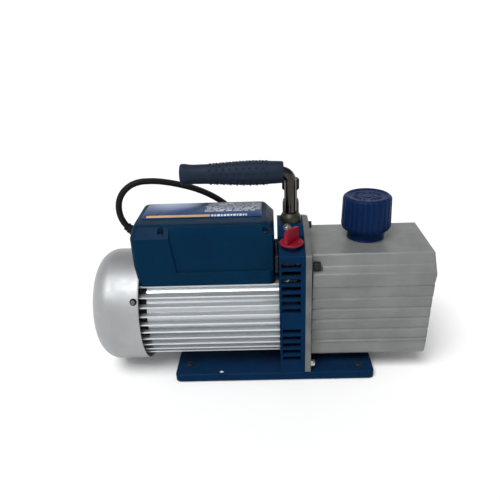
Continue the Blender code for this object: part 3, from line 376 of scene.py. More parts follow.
FINISHES = {
    "blue_paint": Finish(
        "blue_paint", (0.0008, 0.0180, 0.0560), (0.0006, 0.0140, 0.0460), (0.38, 0.50),
        grain_scale=420.0, grain_depth=0.00004, specular=0.03, dust=0.01,
    ),
    "box_plastic": Finish(
        "box_plastic", (0.0009, 0.0200, 0.0500), (0.0007, 0.0165, 0.0420), (0.34, 0.46),
        grain_scale=900.0, grain_depth=0.00003, specular=0.03, dust=0.02,
    ),
    "cap_plastic": Finish(
        "cap_plastic", (0.0022, 0.0150, 0.0620), (0.0018, 0.0130, 0.0520), (0.34, 0.46),
        grain_scale=900.0, grain_depth=0.00003, specular=0.06,
    ),
    "bare_aluminium": Finish(
        "bare_aluminium", (0.66, 0.69, 0.71), (0.54, 0.565, 0.58), (0.30, 0.44), 0.75,
        blotch_scale=60.0, stretch=(0.03, 1.0, 1.0), grain_scale=1400.0,
        grain_depth=0.00002, speck_colour=(0.30, 0.29, 0.28), speck_scale=230.0, speck_limit=0.70,
    ),
    "case_paint": Finish(
        "case_paint", (0.200, 0.203, 0.203), (0.165, 0.168, 0.167), (0.32, 0.44), 0.25,
        blotch_scale=30.0, grain_scale=520.0, grain_depth=0.00007, specular=0.25,
    ),
    "flange_metal": Finish(
        "flange_metal", (0.140, 0.148, 0.145), (0.105, 0.112, 0.110), (0.40, 0.54), 0.30,
        blotch_scale=55.0, grain_scale=600.0, grain_depth=0.00006, specular=0.25,
    ),
    "silver_paint": Finish(
        "silver_paint", (0.38, 0.39, 0.40), (0.33, 0.34, 0.35), (0.44, 0.54), 0.60,
        blotch_scale=26.0, grain_scale=800.0, grain_depth=0.00003,
        speck_colour=(0.20, 0.19, 0.18), speck_scale=120.0, speck_limit=0.735,
    ),
    "black_metal": Finish(
        "black_metal", (0.0080, 0.0080, 0.0090), (0.0120, 0.0115, 0.0115), (0.44, 0.58),
        grain_scale=600.0, grain_depth=0.00005, specular=0.25,
    ),
    "black_plastic": Finish(
        "black_plastic", (0.0070, 0.0070, 0.0080), (0.0100, 0.0100, 0.0105), (0.42, 0.55),
        grain_scale=900.0, grain_depth=0.00003, specular=0.25,
    ),
    "black_rubber": Finish(
        "black_rubber", (0.0060, 0.0060, 0.0068), (0.0090, 0.0088, 0.0090), (0.50, 0.64),
        grain_scale=1100.0, grain_depth=0.00003, specular=0.12,
    ),
    "grip_rubber": Finish(
        "grip_rubber", (0.0080, 0.0150, 0.0300), (0.0105, 0.0185, 0.0360), (0.50, 0.62),
        grain_scale=1000.0, grain_depth=0.00004, specular=0.12, dust=0.015,
    ),
    "red_plastic": Finish(
        "red_plastic", (0.230, 0.0050, 0.0210), (0.180, 0.0040, 0.0165), (0.28, 0.40),
        grain_scale=700.0, grain_depth=0.00003, specular=0.15,
    ),
    "dark_steel": Finish(
        "dark_steel", (0.085, 0.083, 0.078), (0.035, 0.033, 0.028), (0.12, 0.26), 1.0,
        blotch_scale=45.0, stretch=(1.0, 1.0, 0.25), grain_scale=500.0, grain_depth=0.00003,
    ),
    "bright_steel": Finish(
        "bright_steel", (0.55, 0.54, 0.52), (0.40, 0.39, 0.37), (0.20, 0.34), 1.0,
        blotch_scale=120.0, grain_scale=900.0, grain_depth=0.00002,
    ),
    "lamination": Finish(
        "lamination", (0.16, 0.16, 0.17), (0.10, 0.10, 0.11), (0.45, 0.60), 0.9,
        stretch=(30.0, 1.0, 1.0), blotch_scale=60.0,
    ),
    "copper": Finish(
        "copper", (0.62, 0.25, 0.10), (0.45, 0.16, 0.06), (0.30, 0.45), 1.0,
        stretch=(1.0, 12.0, 12.0), blotch_scale=80.0,
    ),
    "brass": Finish(
        "brass", (0.045, 0.042, 0.026), (0.026, 0.024, 0.016), (0.34, 0.50), 0.6,
        blotch_scale=110.0, grain_scale=900.0, grain_depth=0.00003,
    ),
    "cast_iron": Finish(
        "cast_iron", (0.085, 0.085, 0.085), (0.060, 0.060, 0.060), (0.50, 0.65), 0.8,
        grain_scale=500.0, grain_depth=0.00010,
    ),
    # The label's film carries a painted highlight, pale at its back left corner.
    "label_print": LabelFinish(
        "label_print", (0.0050, 0.0480, 0.1650), (0.0035, 0.0300, 0.1000), (0.26, 0.38),
        blotch_scale=14.0, grain_scale=500.0, grain_depth=0.00002, specular=0.25,
    ),
    "clear_glass": GlassFinish(
        "clear_glass", (0.55, 0.60, 0.58), (0.48, 0.53, 0.51), (0.03, 0.06),
        grain_depth=0.0, coat=1.0, coat_roughness=0.03,
    ),
    "filter_felt": Finish(
        "filter_felt", (0.55, 0.52, 0.44), (0.45, 0.42, 0.35), (0.85, 0.95),
        grain_scale=1500.0, grain_depth=0.0003,
    ),
    "composite": Finish(
        "composite", (0.030, 0.030, 0.030), (0.045, 0.042, 0.038), (0.50, 0.62),
        stretch=(1.0, 8.0, 1.0), blotch_scale=90.0,
    ),
}

STRIPE_FINISH = Finish(
    "stripe_print", (0.60, 0.37, 0.145), (0.50, 0.30, 0.115), (0.34, 0.46), grain_depth=0.00001
)
MARK_FINISH = Finish(
    "mark_print", (0.76, 0.79, 0.82), (0.42, 0.49, 0.56), (0.34, 0.46), blotch_scale=160.0,
    grain_depth=0.00001,
)
PALE_FINISH = Finish(
    "chipped_paint", (0.78, 0.80, 0.82), (0.62, 0.64, 0.66), (0.40, 0.55), 0.2, blotch_scale=300.0
)
# Near-black finish for the thin discs under the cowl screws: painted shade in their holes.
HOLE_SHADOW_FINISH = Finish(
    "hole_shadow", (0.004, 0.004, 0.004), (0.006, 0.006, 0.006), (0.7, 0.85), specular=0.1
)
FLOOR_FINISH = Finish(
    "studio_floor", (0.92, 0.92, 0.92), (0.905, 0.905, 0.905), (0.75, 0.85), blotch_scale=3.0,
    grain_scale=60.0, grain_depth=0.00002, specular=0.1,
)


@dataclass
class Form:
    """A shape in the making, held as a bmesh in the pump's frame."""

    mesh: bmesh.types.BMesh = field(default_factory=bmesh.new)

    @classmethod
    def turned(
        cls,
        profile: Sequence[Pair],
        centre: Sequence[float] = (0.0, 0.0, 0.0),
        axis: Axis = Axis.X,
        segments: int = 64,
        closed: bool = False,
    ) -> "Form":
        """Spin a profile round an axis.

        Args:
            profile: Pairs of a place along the axis and a radius.
            centre: A point on the axis.
            axis: The axis that the profile is spun round.
            segments: How many steps make the full turn.
            closed: Whether the profile's ends are joined, as for a ring.

        Returns:
            The turned form.
        """
        form = cls()
        verts = [form.mesh.verts.new((along, 0.0, radius)) for along, radius in profile]
        ends = list(zip(verts, verts[1:]))
        if closed:
            ends.append((verts[-1], verts[0]))
        edges = [form.mesh.edges.new(pair) for pair in ends]
        bmesh.ops.spin(
            form.mesh, geom=verts + edges, cent=(0.0, 0.0, 0.0), axis=(1.0, 0.0, 0.0),
            angle=2.0 * math.pi, steps=segments, use_merge=True,
        )
        return form.welded().moved(Matrix.Translation(centre) @ axis.turn())

    @classmethod
    def prism(
        cls, outline: Sequence[Pair], start: float, end: float, axis: Axis = Axis.X
    ) -> "Form":
        """Run an outline straight along an axis.

        Args:
            outline: The outline's points, square to the axis.
            start: Where it starts along the axis.
            end: Where it ends.
            axis: The axis that it runs along.

        Returns:
            The closed form.
        """
        form = cls()
        verts = [form.mesh.verts.new(axis.point(start, a, b)) for a, b in outline]
        face = form.mesh.faces.new(verts)
        grown = bmesh.ops.extrude_face_region(form.mesh, geom=[face], use_keep_orig=True)
        far = [item for item in grown["geom"] if isinstance(item, bmesh.types.BMVert)]
        bmesh.ops.translate(form.mesh, verts=far, vec=Vector(axis.point(end - start, 0.0, 0.0)))
        return form.welded()

    @classmethod
    def block(cls, low: Sequence[float], high: Sequence[float]) -> "Form":
        """Make a box between two corners."""
        form = cls()
        bmesh.ops.create_cube(form.mesh, size=1.0)
        size = Vector(high) - Vector(low)
        middle = (Vector(high) + Vector(low)) / 2.0
        return form.moved(Matrix.Translation(middle) @ Matrix.Diagonal((*size, 1.0)))

    @classmethod
    def bead(cls, centre: Sequence[float], radius: float, segments: int = 10) -> "Form":
        """Make a small round bead."""
        form = cls()
        bmesh.ops.create_uvsphere(
            form.mesh, u_segments=segments, v_segments=max(segments // 2, 4), radius=radius
        )
        return form.moved(Matrix.Translation(centre))

    @classmethod
    def swept(cls, route: Sequence[Vector], radii: Sequence[float], sides: int = 32) -> "Form":
        """Draw a round section along a route, with a radius for each of its points.

        Args:
            route: The points that the middle of the section follows.
            radii: The section's radius at each point.
            sides: How many sides the section has.

        Returns:
            The closed form.
        """
        form = cls()
        made = bmesh.ops.create_circle(form.mesh, cap_ends=True, radius=1.0, segments=sides)
        ring = made["verts"]
        frames = cls._frames(route, radii)
        bmesh.ops.transform(form.mesh, verts=ring, matrix=frames[0])
        edges = list({edge for vert in ring for edge in vert.link_edges})
        for before, after in zip(frames, frames[1:]):
            grown = bmesh.ops.extrude_edge_only(form.mesh, edges=edges)["geom"]
            ring = [item for item in grown if isinstance(item, bmesh.types.BMVert)]
            edges = [item for item in grown if isinstance(item, bmesh.types.BMEdge)]
            bmesh.ops.transform(form.mesh, verts=ring, matrix=after @ before.inverted())
        bmesh.ops.contextual_create(form.mesh, geom=edges)
        return form.welded()

    @staticmethod
    def _frames(route: Sequence[Vector], radii: Sequence[float]) -> list[Matrix]:
        """Return the section's place, turn and size at each point of a route."""
        frames = []
        across = Vector((0.0, 1.0, 0.0))
        for index, (point, radius) in enumerate(zip(route, radii)):
            before = route[max(index - 1, 0)]
            after = route[min(index + 1, len(route) - 1)]
            forward = (after - before).normalized()
            side = across.cross(forward).normalized()
            across = forward.cross(side).normalized()
            turn = Matrix((side, across, forward)).transposed().to_4x4()
            size = Matrix.Diagonal((radius, radius, radius, 1.0))
            frames.append(Matrix.Translation(point) @ turn @ size)
        return frames

    @classmethod
    def copied(cls, node: bpy.types.Object) -> "Form":
        """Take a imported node's shape, with its loose triangles joined into whole faces."""
        form = cls()
        form.mesh.from_mesh(node.data)
        bmesh.ops.remove_doubles(form.mesh, verts=form.mesh.verts, dist=2e-6)
        bmesh.ops.dissolve_limit(
            form.mesh, angle_limit=math.radians(0.6), verts=form.mesh.verts, edges=form.mesh.edges
        )
        return form

    def welded(self) -> "Form":
        """Merge doubled points and turn every face outwards."""
        bmesh.ops.remove_doubles(self.mesh, verts=self.mesh.verts, dist=1e-6)
        bmesh.ops.recalc_face_normals(self.mesh, faces=self.mesh.faces)
        return self

    def moved(self, matrix: Matrix) -> "Form":
        """Move the form as a matrix says."""
        bmesh.ops.transform(self.mesh, verts=self.mesh.verts, matrix=matrix)
        return self

    def shaped(self, rule: Callable[[Vector], Vector]) -> "Form":
        """Move every point to where a rule puts it."""
        for vert in self.mesh.verts:
            vert.co = rule(vert.co)
        return self

    def bevelled(
        self, width: float, angle: float = 28.0, segments: int = 2,
        where: Callable[[bmesh.types.BMEdge], bool] | None = None,
    ) -> "Form":
        """Round the edges that are sharper than an angle.

        Args:
            width: The bevel's width.
            angle: The least angle between an edge's faces, in degrees.
            segments: How many steps round the edge.
            where: A test that leaves edges out, if given.

        Returns:
            The form itself.
        """
        least = math.radians(angle)
        edges = [
            edge for edge in self.mesh.edges
            if edge.is_manifold and edge.calc_face_angle(0.0) > least and (where is None or where(edge))
        ]
        bmesh.ops.bevel(
            self.mesh, geom=edges, offset=width, segments=segments, profile=0.5,
            affect="EDGES", material=-1, clamp_overlap=True,
        )
        return self

    def joined(self, *others: "Form") -> "Form":
        """Take other forms into this one as further shells."""
        for other in others:
            scratch = bpy.data.meshes.new("scratch")
            other.mesh.to_mesh(scratch)
            self.mesh.from_mesh(scratch)
            other.mesh.free()
            bpy.data.meshes.remove(scratch)
        return self


@dataclass
class Workshop:
    """What every sub-assembly is built with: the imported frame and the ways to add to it."""

    frame: dict

    def span(self, node: str) -> tuple[Vector, Vector]:
        """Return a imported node's lowest and highest corner."""
        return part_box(node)

    def copy(self, node: str) -> Form:
        """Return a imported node's shape as a form of its own."""
        return Form.copied(self.frame["nodes"][node])

    def dress(self, finish: str, *nodes: str) -> None:
        """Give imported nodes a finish, and leave their shapes alone."""
        for node in nodes:
            mesh = self.frame["nodes"][node].data
            mesh.materials.clear()
            mesh.materials.append(FINISHES[finish].material())
            LOG.info("dressed %s in %s", node, finish)

    def add(
        self, form: Form, name: str, finish: str | Finish, body: str = "pump",
        replaces: Iterable[str] = (), sharp: float = 38.0, weighted: bool = False,
    ) -> bpy.types.Object:
        """Store a finished form as a piece that rides on a body.

        Args:
            form: The finished form, in the pump's frame.
            name: The piece's name.
            finish: A finish, or the name of one of the pump's own.
            body: The body that it rides on.
            replaces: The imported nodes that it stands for.
            sharp: The angle past which an edge stays sharp, in degrees.
            weighted: Whether big faces keep their shading flat beside bevels.

        Returns:
            The new piece.
        """
        mesh = bpy.data.meshes.new(name)
        form.mesh.to_mesh(mesh)
        form.mesh.free()
        mesh.shade_smooth()
        mesh.set_sharp_from_angle(angle=math.radians(sharp))
        named = isinstance(finish, str)
        mesh.materials.append((FINISHES[finish] if named else finish).material())
        piece = bpy.data.objects.new(name, mesh)
        bpy.context.scene.collection.objects.link(piece)
        if weighted:
            modifier = piece.modifiers.new("weighted_normal", "WEIGHTED_NORMAL")
            modifier.keep_sharp = True
        self.ride(piece, body, replaces)
        return piece

    def ride(self, piece: bpy.types.Object, body: str, replaces: Iterable[str] = ()) -> None:
        """Let a piece ride on a body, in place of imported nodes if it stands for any."""
        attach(piece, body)
        nodes = list(replaces)
        if nodes:
            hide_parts(*nodes)
        LOG.info("built %s on %s", piece.name, body)

    def refine(
        self, node: str, finish: str, width: float, body: str = "pump", **options
    ) -> bpy.types.Object:
        """Stand a copy of a node in its place, with its edges rounded.

        Args:
            node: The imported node.
            finish: The name of the copy's finish.
            width: The bevel's width.
            body: The body that it rides on.
            options: Further arguments of Form.bevelled.

        Returns:
            The new piece.
        """
        form = self.copy(node).bevelled(width, **options)
        return self.add(form, f"{node}_skin", finish, body, [node], weighted=True)


def ring_points(centre: Pair, radius: float, start: float, end: float, steps: int) -> list[Pair]:
    """Return points along an arc, from one angle in degrees to another.

    Args:
        centre: The arc's centre.
        radius: Its radius.
        start: The angle it starts at.
        end: The angle it ends at.
        steps: How many steps it takes.

    Returns:
        The points in order.
    """
    points = []
    for step in range(steps + 1):
        angle = math.radians(start + (end - start) * step / steps)
        points.append((centre[0] + radius * math.cos(angle), centre[1] + radius * math.sin(angle)))
    return points


def rounded_rectangle(low: Pair, high: Pair, radius: float, steps: int = 6) -> list[Pair]:
    """Return the outline of a rectangle with round corners.

    Args:
        low: The rectangle's low corner.
        high: Its high corner.
        radius: The corners' radius.
        steps: How many steps round a corner.

    Returns:
        The outline, anticlockwise.
    """
    corners = (
        (high[0] - radius, high[1] - radius, 0.0),
        (low[0] + radius, high[1] - radius, 90.0),
        (low[0] + radius, low[1] + radius, 180.0),
        (high[0] - radius, low[1] + radius, 270.0),
    )
    outline = []
    for a, b, start in corners:
        outline += ring_points((a, b), radius, start, start + 90.0, steps)
    return outline


def facing(normal: Sequence[float]) -> Matrix:
    """Return the rotation that carries +Z onto a direction."""
    return Vector(normal).to_track_quat("Z", "Y").to_matrix().to_4x4()


@dataclass
class Fastener:
    """A screw or bolt head that stands on a surface."""

    place: Point
    normal: Point
    radius: float
    height: float
    drive: ScrewDrive
    dome: float = 0.0
    segments: int = 48

    def _drive_radius(self, angle: float) -> float:
        """Return how far the drive's recess reaches at an angle, as a share of its widest."""
        if self.drive is ScrewDrive.CROSS:
            arm = abs(math.remainder(angle, math.pi / 2.0))
            return min(1.0, 0.24 / max(math.sin(arm), 1e-6))
        part = abs(math.remainder(angle, math.pi / 3.0))
        return math.cos(math.pi / 6.0) / math.cos(math.pi / 6.0 - part)

    def form(self) -> Form:
        """Turn the head, sink or shape its drive, and stand it on its surface."""
        reach = self.radius * (0.62 if self.drive is ScrewDrive.CROSS else 0.55)
        depth = self.height * 0.55
        edge = min(self.height * 0.3, self.radius * 0.15)
        profile = [
            (0.0, 0.0),
            (0.0, self.radius),
            (self.height - edge, self.radius),
            (self.height - edge * 0.3, self.radius - edge * 0.3),
            (self.height, self.radius - edge),
        ]
        if self.drive is not ScrewDrive.HEX:
            crown = self.height + self.dome
            profile += [(self.height + self.dome * 0.6, (self.radius + reach) / 2.0)]
            profile += [(crown, reach), (crown - depth, reach * 0.9)]
            profile += [(crown - depth, 0.0)]
        else:
            profile += [(self.height, 0.0)]
        form = Form.turned(profile, (0.0, 0.0, 0.0), Axis.Z, self.segments)
        if self.drive is ScrewDrive.HEX:
            form.shaped(self._hexed)
        else:
            form.shaped(lambda point: self._sunk(point, reach))
        return form.moved(Matrix.Translation(self.place) @ facing(self.normal))

    def _hexed(self, point: Vector) -> Vector:
        """Flatten the head's round side into six flats, below its chamfer."""
        flat = Vector((point.x, point.y))
        if flat.length < 1e-6:
            return point
        share = self._drive_radius(math.atan2(point.y, point.x))
        if flat.length > self.radius * 0.97:
            flat *= share
        return Vector((flat.x, flat.y, point.z))

    def _sunk(self, point: Vector, reach: float) -> Vector:
        """Draw the recess's rim and floor in to the shape of the drive."""
        flat = Vector((point.x, point.y))
        if flat.length < 1e-6 or flat.length > reach * 1.01:
            return point
        if point.z < self.height * 0.3:
            return point
        flat *= self._drive_radius(math.atan2(point.y, point.x))
        return Vector((flat.x, flat.y, point.z))


@dataclass
class Studio:
    """Camera, soft lights, pale surroundings and the floor."""

    camera_place: Point = (0.01133, -0.58396, 0.40976)
    camera_right: Point = (0.999564, 0.004677, -0.029169)
    camera_up: Point = (0.023978, 0.448305, 0.893559)
    camera_forward: Point = (-0.017255, 0.893868, -0.447998)
    lens: float = 37.72
    shift: Pair = (-0.0258, 0.0431)
    world_strength: float = 0.30
    flat_reach: float = 1.6
    sweep_steps: int = 12
    sweep_run: float = 0.6
    sweep_rise: float = 0.028
    sun_from: Point = (-0.25, -0.45, 0.87)
    sun_strength: float = 2.8
    sun_spread: float = 35.0

    def build(self) -> None:
        """Set the camera first, then the light and the floor."""
        self._camera()
        self._world()
        self._sun()
        self._floor()

    def _camera(self) -> None:
        """Stand the camera in front of the panelled side, looking down a little."""
        data = bpy.data.cameras.new("camera")
        data.lens = self.lens
        data.sensor_width = 36.0
        data.shift_x, data.shift_y = self.shift
        data.clip_start = 0.05
        camera = bpy.data.objects.new("camera", data)
        axes = (Vector(self.camera_right), Vector(self.camera_up), -Vector(self.camera_forward))
        turn = Matrix(axes).transposed().to_4x4()
        camera.matrix_world = Matrix.Translation(self.camera_place) @ turn
        bpy.context.scene.collection.objects.link(camera)
        bpy.context.scene.camera = camera
        bpy.context.scene.view_settings.view_transform = "Standard"

    def _world(self) -> None:
        """Surround the pump with plain near-white light."""
        world = bpy.data.worlds.new("studio")
        world.use_nodes = True
        back = world.node_tree.nodes["Background"]
        back.inputs["Color"].default_value = (1.0, 1.0, 1.0, 1.0)
        back.inputs["Strength"].default_value = self.world_strength
        bpy.context.scene.world = world

    def _sun(self) -> None:
        """Shine the broad main light from above the front left."""
        data = bpy.data.lights.new("main_light", "SUN")
        data.energy = self.sun_strength
        data.angle = math.radians(self.sun_spread)
        lamp = bpy.data.objects.new("main_light", data)
        aim = -Vector(self.sun_from)
        lamp.rotation_euler = aim.to_track_quat("-Z", "Y").to_euler()
        bpy.context.scene.collection.objects.link(lamp)

    def _floor(self) -> None:
        """Lay the plain floor, which sweeps up gently all round, far from the pump."""
        profile = [(0.0, 0.0), (0.0, self.flat_reach)]
        for step in range(1, self.sweep_steps + 1):
            profile.append((self.sweep_rise * step**2, self.flat_reach + self.sweep_run * step))
        form = Form.turned(profile, axis=Axis.Z, segments=96)
        mesh = bpy.data.meshes.new("studio_floor")
        form.mesh.to_mesh(mesh)
        form.mesh.free()
        mesh.shade_smooth()
        mesh.materials.append(FLOOR_FINISH.material())
        floor = bpy.data.objects.new("studio_floor", mesh)
        bpy.context.scene.collection.objects.link(floor)


@dataclass
class SupplyCord:
    """The mains cord: strain relief, free run, stored coil and plug."""

    length: float = 1.8
    radius: float = 0.0039
    turns: float = 4.5
    pitch: float = 0.0080
    coil_centre: Pair = (0.0850, 0.1500)
    layers: Pair = (0.0042, 0.0121)
    points_per_turn: int = 40
    sleeve_reach: float = 0.0255
    sleeve_radii: Pair = (0.0080, 0.0052)
    route: tuple[Point, ...] = (
        (-0.1443, 0.0170, 0.1645),
        (-0.1500, 0.0174, 0.1652),
        (-0.1560, 0.0181, 0.1670),
        (-0.1615, 0.0190, 0.1700),
        (-0.1664, 0.0202, 0.1743),
        (-0.1705, 0.0215, 0.1797),
        (-0.1733, 0.0230, 0.1860),
        (-0.1747, 0.0247, 0.1930),
        (-0.1745, 0.0265, 0.2002),
        (-0.1728, 0.0283, 0.2068),
        (-0.1695, 0.0303, 0.2128),
        (-0.1645, 0.0325, 0.2180),
        (-0.1580, 0.0350, 0.2220),
        (-0.1505, 0.0375, 0.2242),
        (-0.1420, 0.0402, 0.2247),
        (-0.1260, 0.0450, 0.2228),
        (-0.1050, 0.0515, 0.2168),
        (-0.0820, 0.0590, 0.2072),
        (-0.0610, 0.0660, 0.1940),
        (-0.0440, 0.0720, 0.1780),
        (-0.0320, 0.0775, 0.1580),
        (-0.0250, 0.0820, 0.1340),
        (-0.0215, 0.0860, 0.1080),
        (-0.0190, 0.0893, 0.0820),
        (-0.0145, 0.0922, 0.0580),
        (-0.0060, 0.0943, 0.0355),
        (0.0065, 0.0955, 0.0180),
        (0.0215, 0.0959, 0.0077),
        (0.0370, 0.0958, 0.0046),
        (0.0535, 0.0955, 0.0045),
    )

    def build(self, shop: Workshop) -> None:
        """Lay the cord along its route and put its sleeve and plug on it.

        Args:
            shop: The workshop that the pieces are added to.
        """
        free = self._smooth([Vector(point) for point in self.route])
        neck = shop.span("cord_plug")[1].x
        plug_low, plug_high = shop.span("cord_plug")
        plug_y = (plug_low.y + plug_high.y) / 2.0
        tail_end = Vector((neck - 0.0100, plug_y, 0.0101))
        coil = self._coil(self._run(free), tail_end)
        points = free + coil + [tail_end]
        cord = self._curve(points)
        shop.ride(cord, "pump", ["supply_cord", "cord_coil"])
        sleeve = self._sleeve(shop, free)
        plug, pins = self._plug(shop)

    @staticmethod
    def _run(points: Sequence[Vector]) -> float:
        """Return the length of a run of points."""
        return sum((after - before).length for before, after in zip(points, points[1:]))

    @staticmethod
    def _smooth(nodes: list[Vector], steps: int = 4) -> list[Vector]:
        """Return points on a smooth curve through a route's own points.

        Args:
            nodes: The route's own points.
            steps: How many steps lie between two of them.

        Returns:
            The points of the curve.
        """
        ends = [2 * nodes[0] - nodes[1]] + nodes + [2 * nodes[-1] - nodes[-2]]
        fine = []
        for p0, p1, p2, p3 in zip(ends, ends[1:], ends[2:], ends[3:]):
            for step in range(steps):
                t = step / steps
                curve = (2 * p0 - 5 * p1 + 4 * p2 - p3) * t * t + (3 * p1 - p0 - 3 * p2 + p3) * t**3
                fine.append((2 * p1 + (p2 - p0) * t + curve) / 2.0)
        fine.append(nodes[-1])
        return fine

    def _coil(self, used: float, tail_end: Vector) -> list[Vector]:
        """Wind what is left of the cord's length, inwards on the floor and out again on top.

        Args:
            used: The length of the free run before the coil.
            tail_end: Where the cord enters its plug.

        Returns:
            The coil's points.
        """
        x, y = self.coil_centre
        lead = x - self.route[-1][0]
        tail = x - tail_end.x
        mean = (self.length - used - lead - tail) / (2.0 * math.pi * self.turns)
        outer = mean + self.pitch * self.turns / 4.0
        low, high = self.layers
        points = []
        count = round(self.turns * self.points_per_turn)
        for step in range(count + 1):
            turn = self.turns * step / count
            radius = outer - self.pitch * min(turn, self.turns - turn)
            rise = min(max((turn - self.turns / 2.0 + 0.25) / 0.5, 0.0), 1.0)
            height = low + (high - low) * rise * rise * (3.0 - 2.0 * rise)
            angle = 2.0 * math.pi * turn - math.pi / 2.0
            flat = (x + radius * math.cos(angle), y + radius * math.sin(angle))
            points.append(Vector((*flat, height)))
        return points

    def _curve(self, points: Sequence[Vector]) -> bpy.types.Object:
        """Make the cord as one round curve through its points."""
        curve = bpy.data.curves.new("supply_cord_skin", "CURVE")
        curve.dimensions = "3D"
        curve.bevel_depth = self.radius
        curve.bevel_resolution = 5
        curve.use_fill_caps = True
        spline = curve.splines.new("POLY")
        spline.points.add(len(points) - 1)
        for slot, point in zip(spline.points, points):
            slot.co = (*point, 1.0)
        spline.use_smooth = True
        curve.materials.append(FINISHES["black_rubber"].material())
        cord = bpy.data.objects.new("supply_cord_skin", curve)
        bpy.context.scene.collection.objects.link(cord)
        return cord

    def _sleeve(self, shop: Workshop, free: Sequence[Vector]) -> bpy.types.Object:
        """Make the ribbed strain relief that tapers along the cord's first stretch."""
        rings = 27
        wide, narrow = self.sleeve_radii
        route = []
        radii = []
        place = 0
        done = 0.0
        for ring in range(rings):
            want = self.sleeve_reach * ring / (rings - 1)
            while done + (free[place + 1] - free[place]).length < want:
                done += (free[place + 1] - free[place]).length
                place += 1
            step = (free[place + 1] - free[place]).length
            route.append(free[place].lerp(free[place + 1], (want - done) / step))
            rib = 0.0006 if ring % 4 in (2, 3) and 3 < ring < rings - 2 else 0.0
            radii.append(wide + (narrow - wide) * ring / (rings - 1) - rib)
        form = Form.swept(route, radii, 40)
        return shop.add(form, "cord_sleeve_skin", "black_rubber", "pump", ["cord_sleeve"], sharp=60.0)

    def _plug(self, shop: Workshop) -> tuple[bpy.types.Object, bpy.types.Object]:
        """Make the moulded plug, its ribbed neck and its two round pins."""
        low, high = shop.span("cord_plug")
        middle = (low.y + high.y) / 2.0
        half = (high.y - low.y) / 2.0
        line = (0.0, middle, 0.0101)
        left = low.x + 0.0190
        right = left + 0.0360
        outline = rounded_rectangle((left, middle - half), (right, middle + half), 0.0075, 8)
        body = Form.prism(outline, low.z, high.z, Axis.Z).bevelled(0.0022, 40.0, 4)
        ribs = []
        for index in range(4):
            x = left + 0.0130 + 0.0040 * index
            for side in (-1.0, 1.0):
                edge = middle + side * (half - 0.0002)
                near = (x, edge - 0.0006, low.z + 0.0045)
                far = (x + 0.0018, edge + 0.0002, high.z - 0.0045)
                rib = Form.block(near, far)
                ribs.append(rib.bevelled(0.0002, 40.0, 2))
        neck = [(right - 0.0020, 0.0), (right - 0.0020, 0.0065)]
        steps = 5
        for index in range(steps):
            start = right + 0.0022 * index
            radius = 0.0064 - 0.0004 * index
            neck += [(start, radius), (start + 0.0014, radius), (start + 0.0014, radius - 0.0007)]
            neck += [(start + 0.0022, radius - 0.0007)]
        neck += [(right + 0.0119, 0.0043), (right + 0.0119, 0.0)]
        body.joined(Form.turned(neck, line, Axis.X, 40), *ribs)
        plug = shop.add(body, "cord_plug_skin", "black_plastic", "pump", ["cord_plug"], weighted=True)
        pins = Form()
        for side in (-1.0, 1.0):
            pin = [
                (low.x, 0.0), (low.x, 0.0014), (low.x + 0.0008, 0.0022), (left - 0.0080, 0.0022),
                (left - 0.0079, 0.0020), (left + 0.0020, 0.0020), (left + 0.0020, 0.0),
            ]
            pins.joined(Form.turned(pin, (0.0, middle + side * 0.0070, 0.0101), Axis.X, 24))
        return plug, shop.add(pins, "plug_pins", "bright_steel")


@dataclass
class Base:
    """Painted base plate with its feet and screws."""

    edge: float = 0.0007
    screw_radius: float = 0.0042
    chip_place: Pair = (-0.0535, -0.0620)

    def build(self, shop: Workshop) -> None:
        """Dress the plate and its feet, and add the screws and the chipped spot."""
        shop.refine("base_plate", "blue_paint", self.edge, segments=3)
        feet = [f"foot_{end}_{side}" for end in ("front", "rear") for side in ("left", "right")]
        shop.dress("black_rubber", *feet)
        top = shop.span("base_plate")[1].z
        screws = Form()
        for foot in feet:
            low, high = shop.span(foot)
            place = ((low.x + high.x) / 2.0, (low.y + high.y) / 2.0, top - 0.0002)
            screw = Fastener(place, (0.0, 0.0, 1.0), self.screw_radius, 0.0012, ScrewDrive.CROSS, 0.0008)
            screws.joined(screw.form())
        shop.add(screws, "base_screws", "black_metal")
        self._chip(shop, top)

    def _chip(self, shop: Workshop, top: float) -> None:
        """Bare a small spot near the front edge where the paint has come off."""
        x, y = self.chip_place
        corners = ((-0.0024, -0.0010), (-0.0008, -0.0018), (0.0014, -0.0014), (0.0023, 0.0003))
        corners += ((0.0009, 0.0013), (-0.0005, 0.0019), (-0.0018, 0.0009))
        outline = [(x + a, y + b) for a, b in corners]
        spot = Form.prism(outline, top - 0.0002, top + 0.00006, Axis.Z)
        shop.add(spot, "paint_chip", PALE_FINISH)


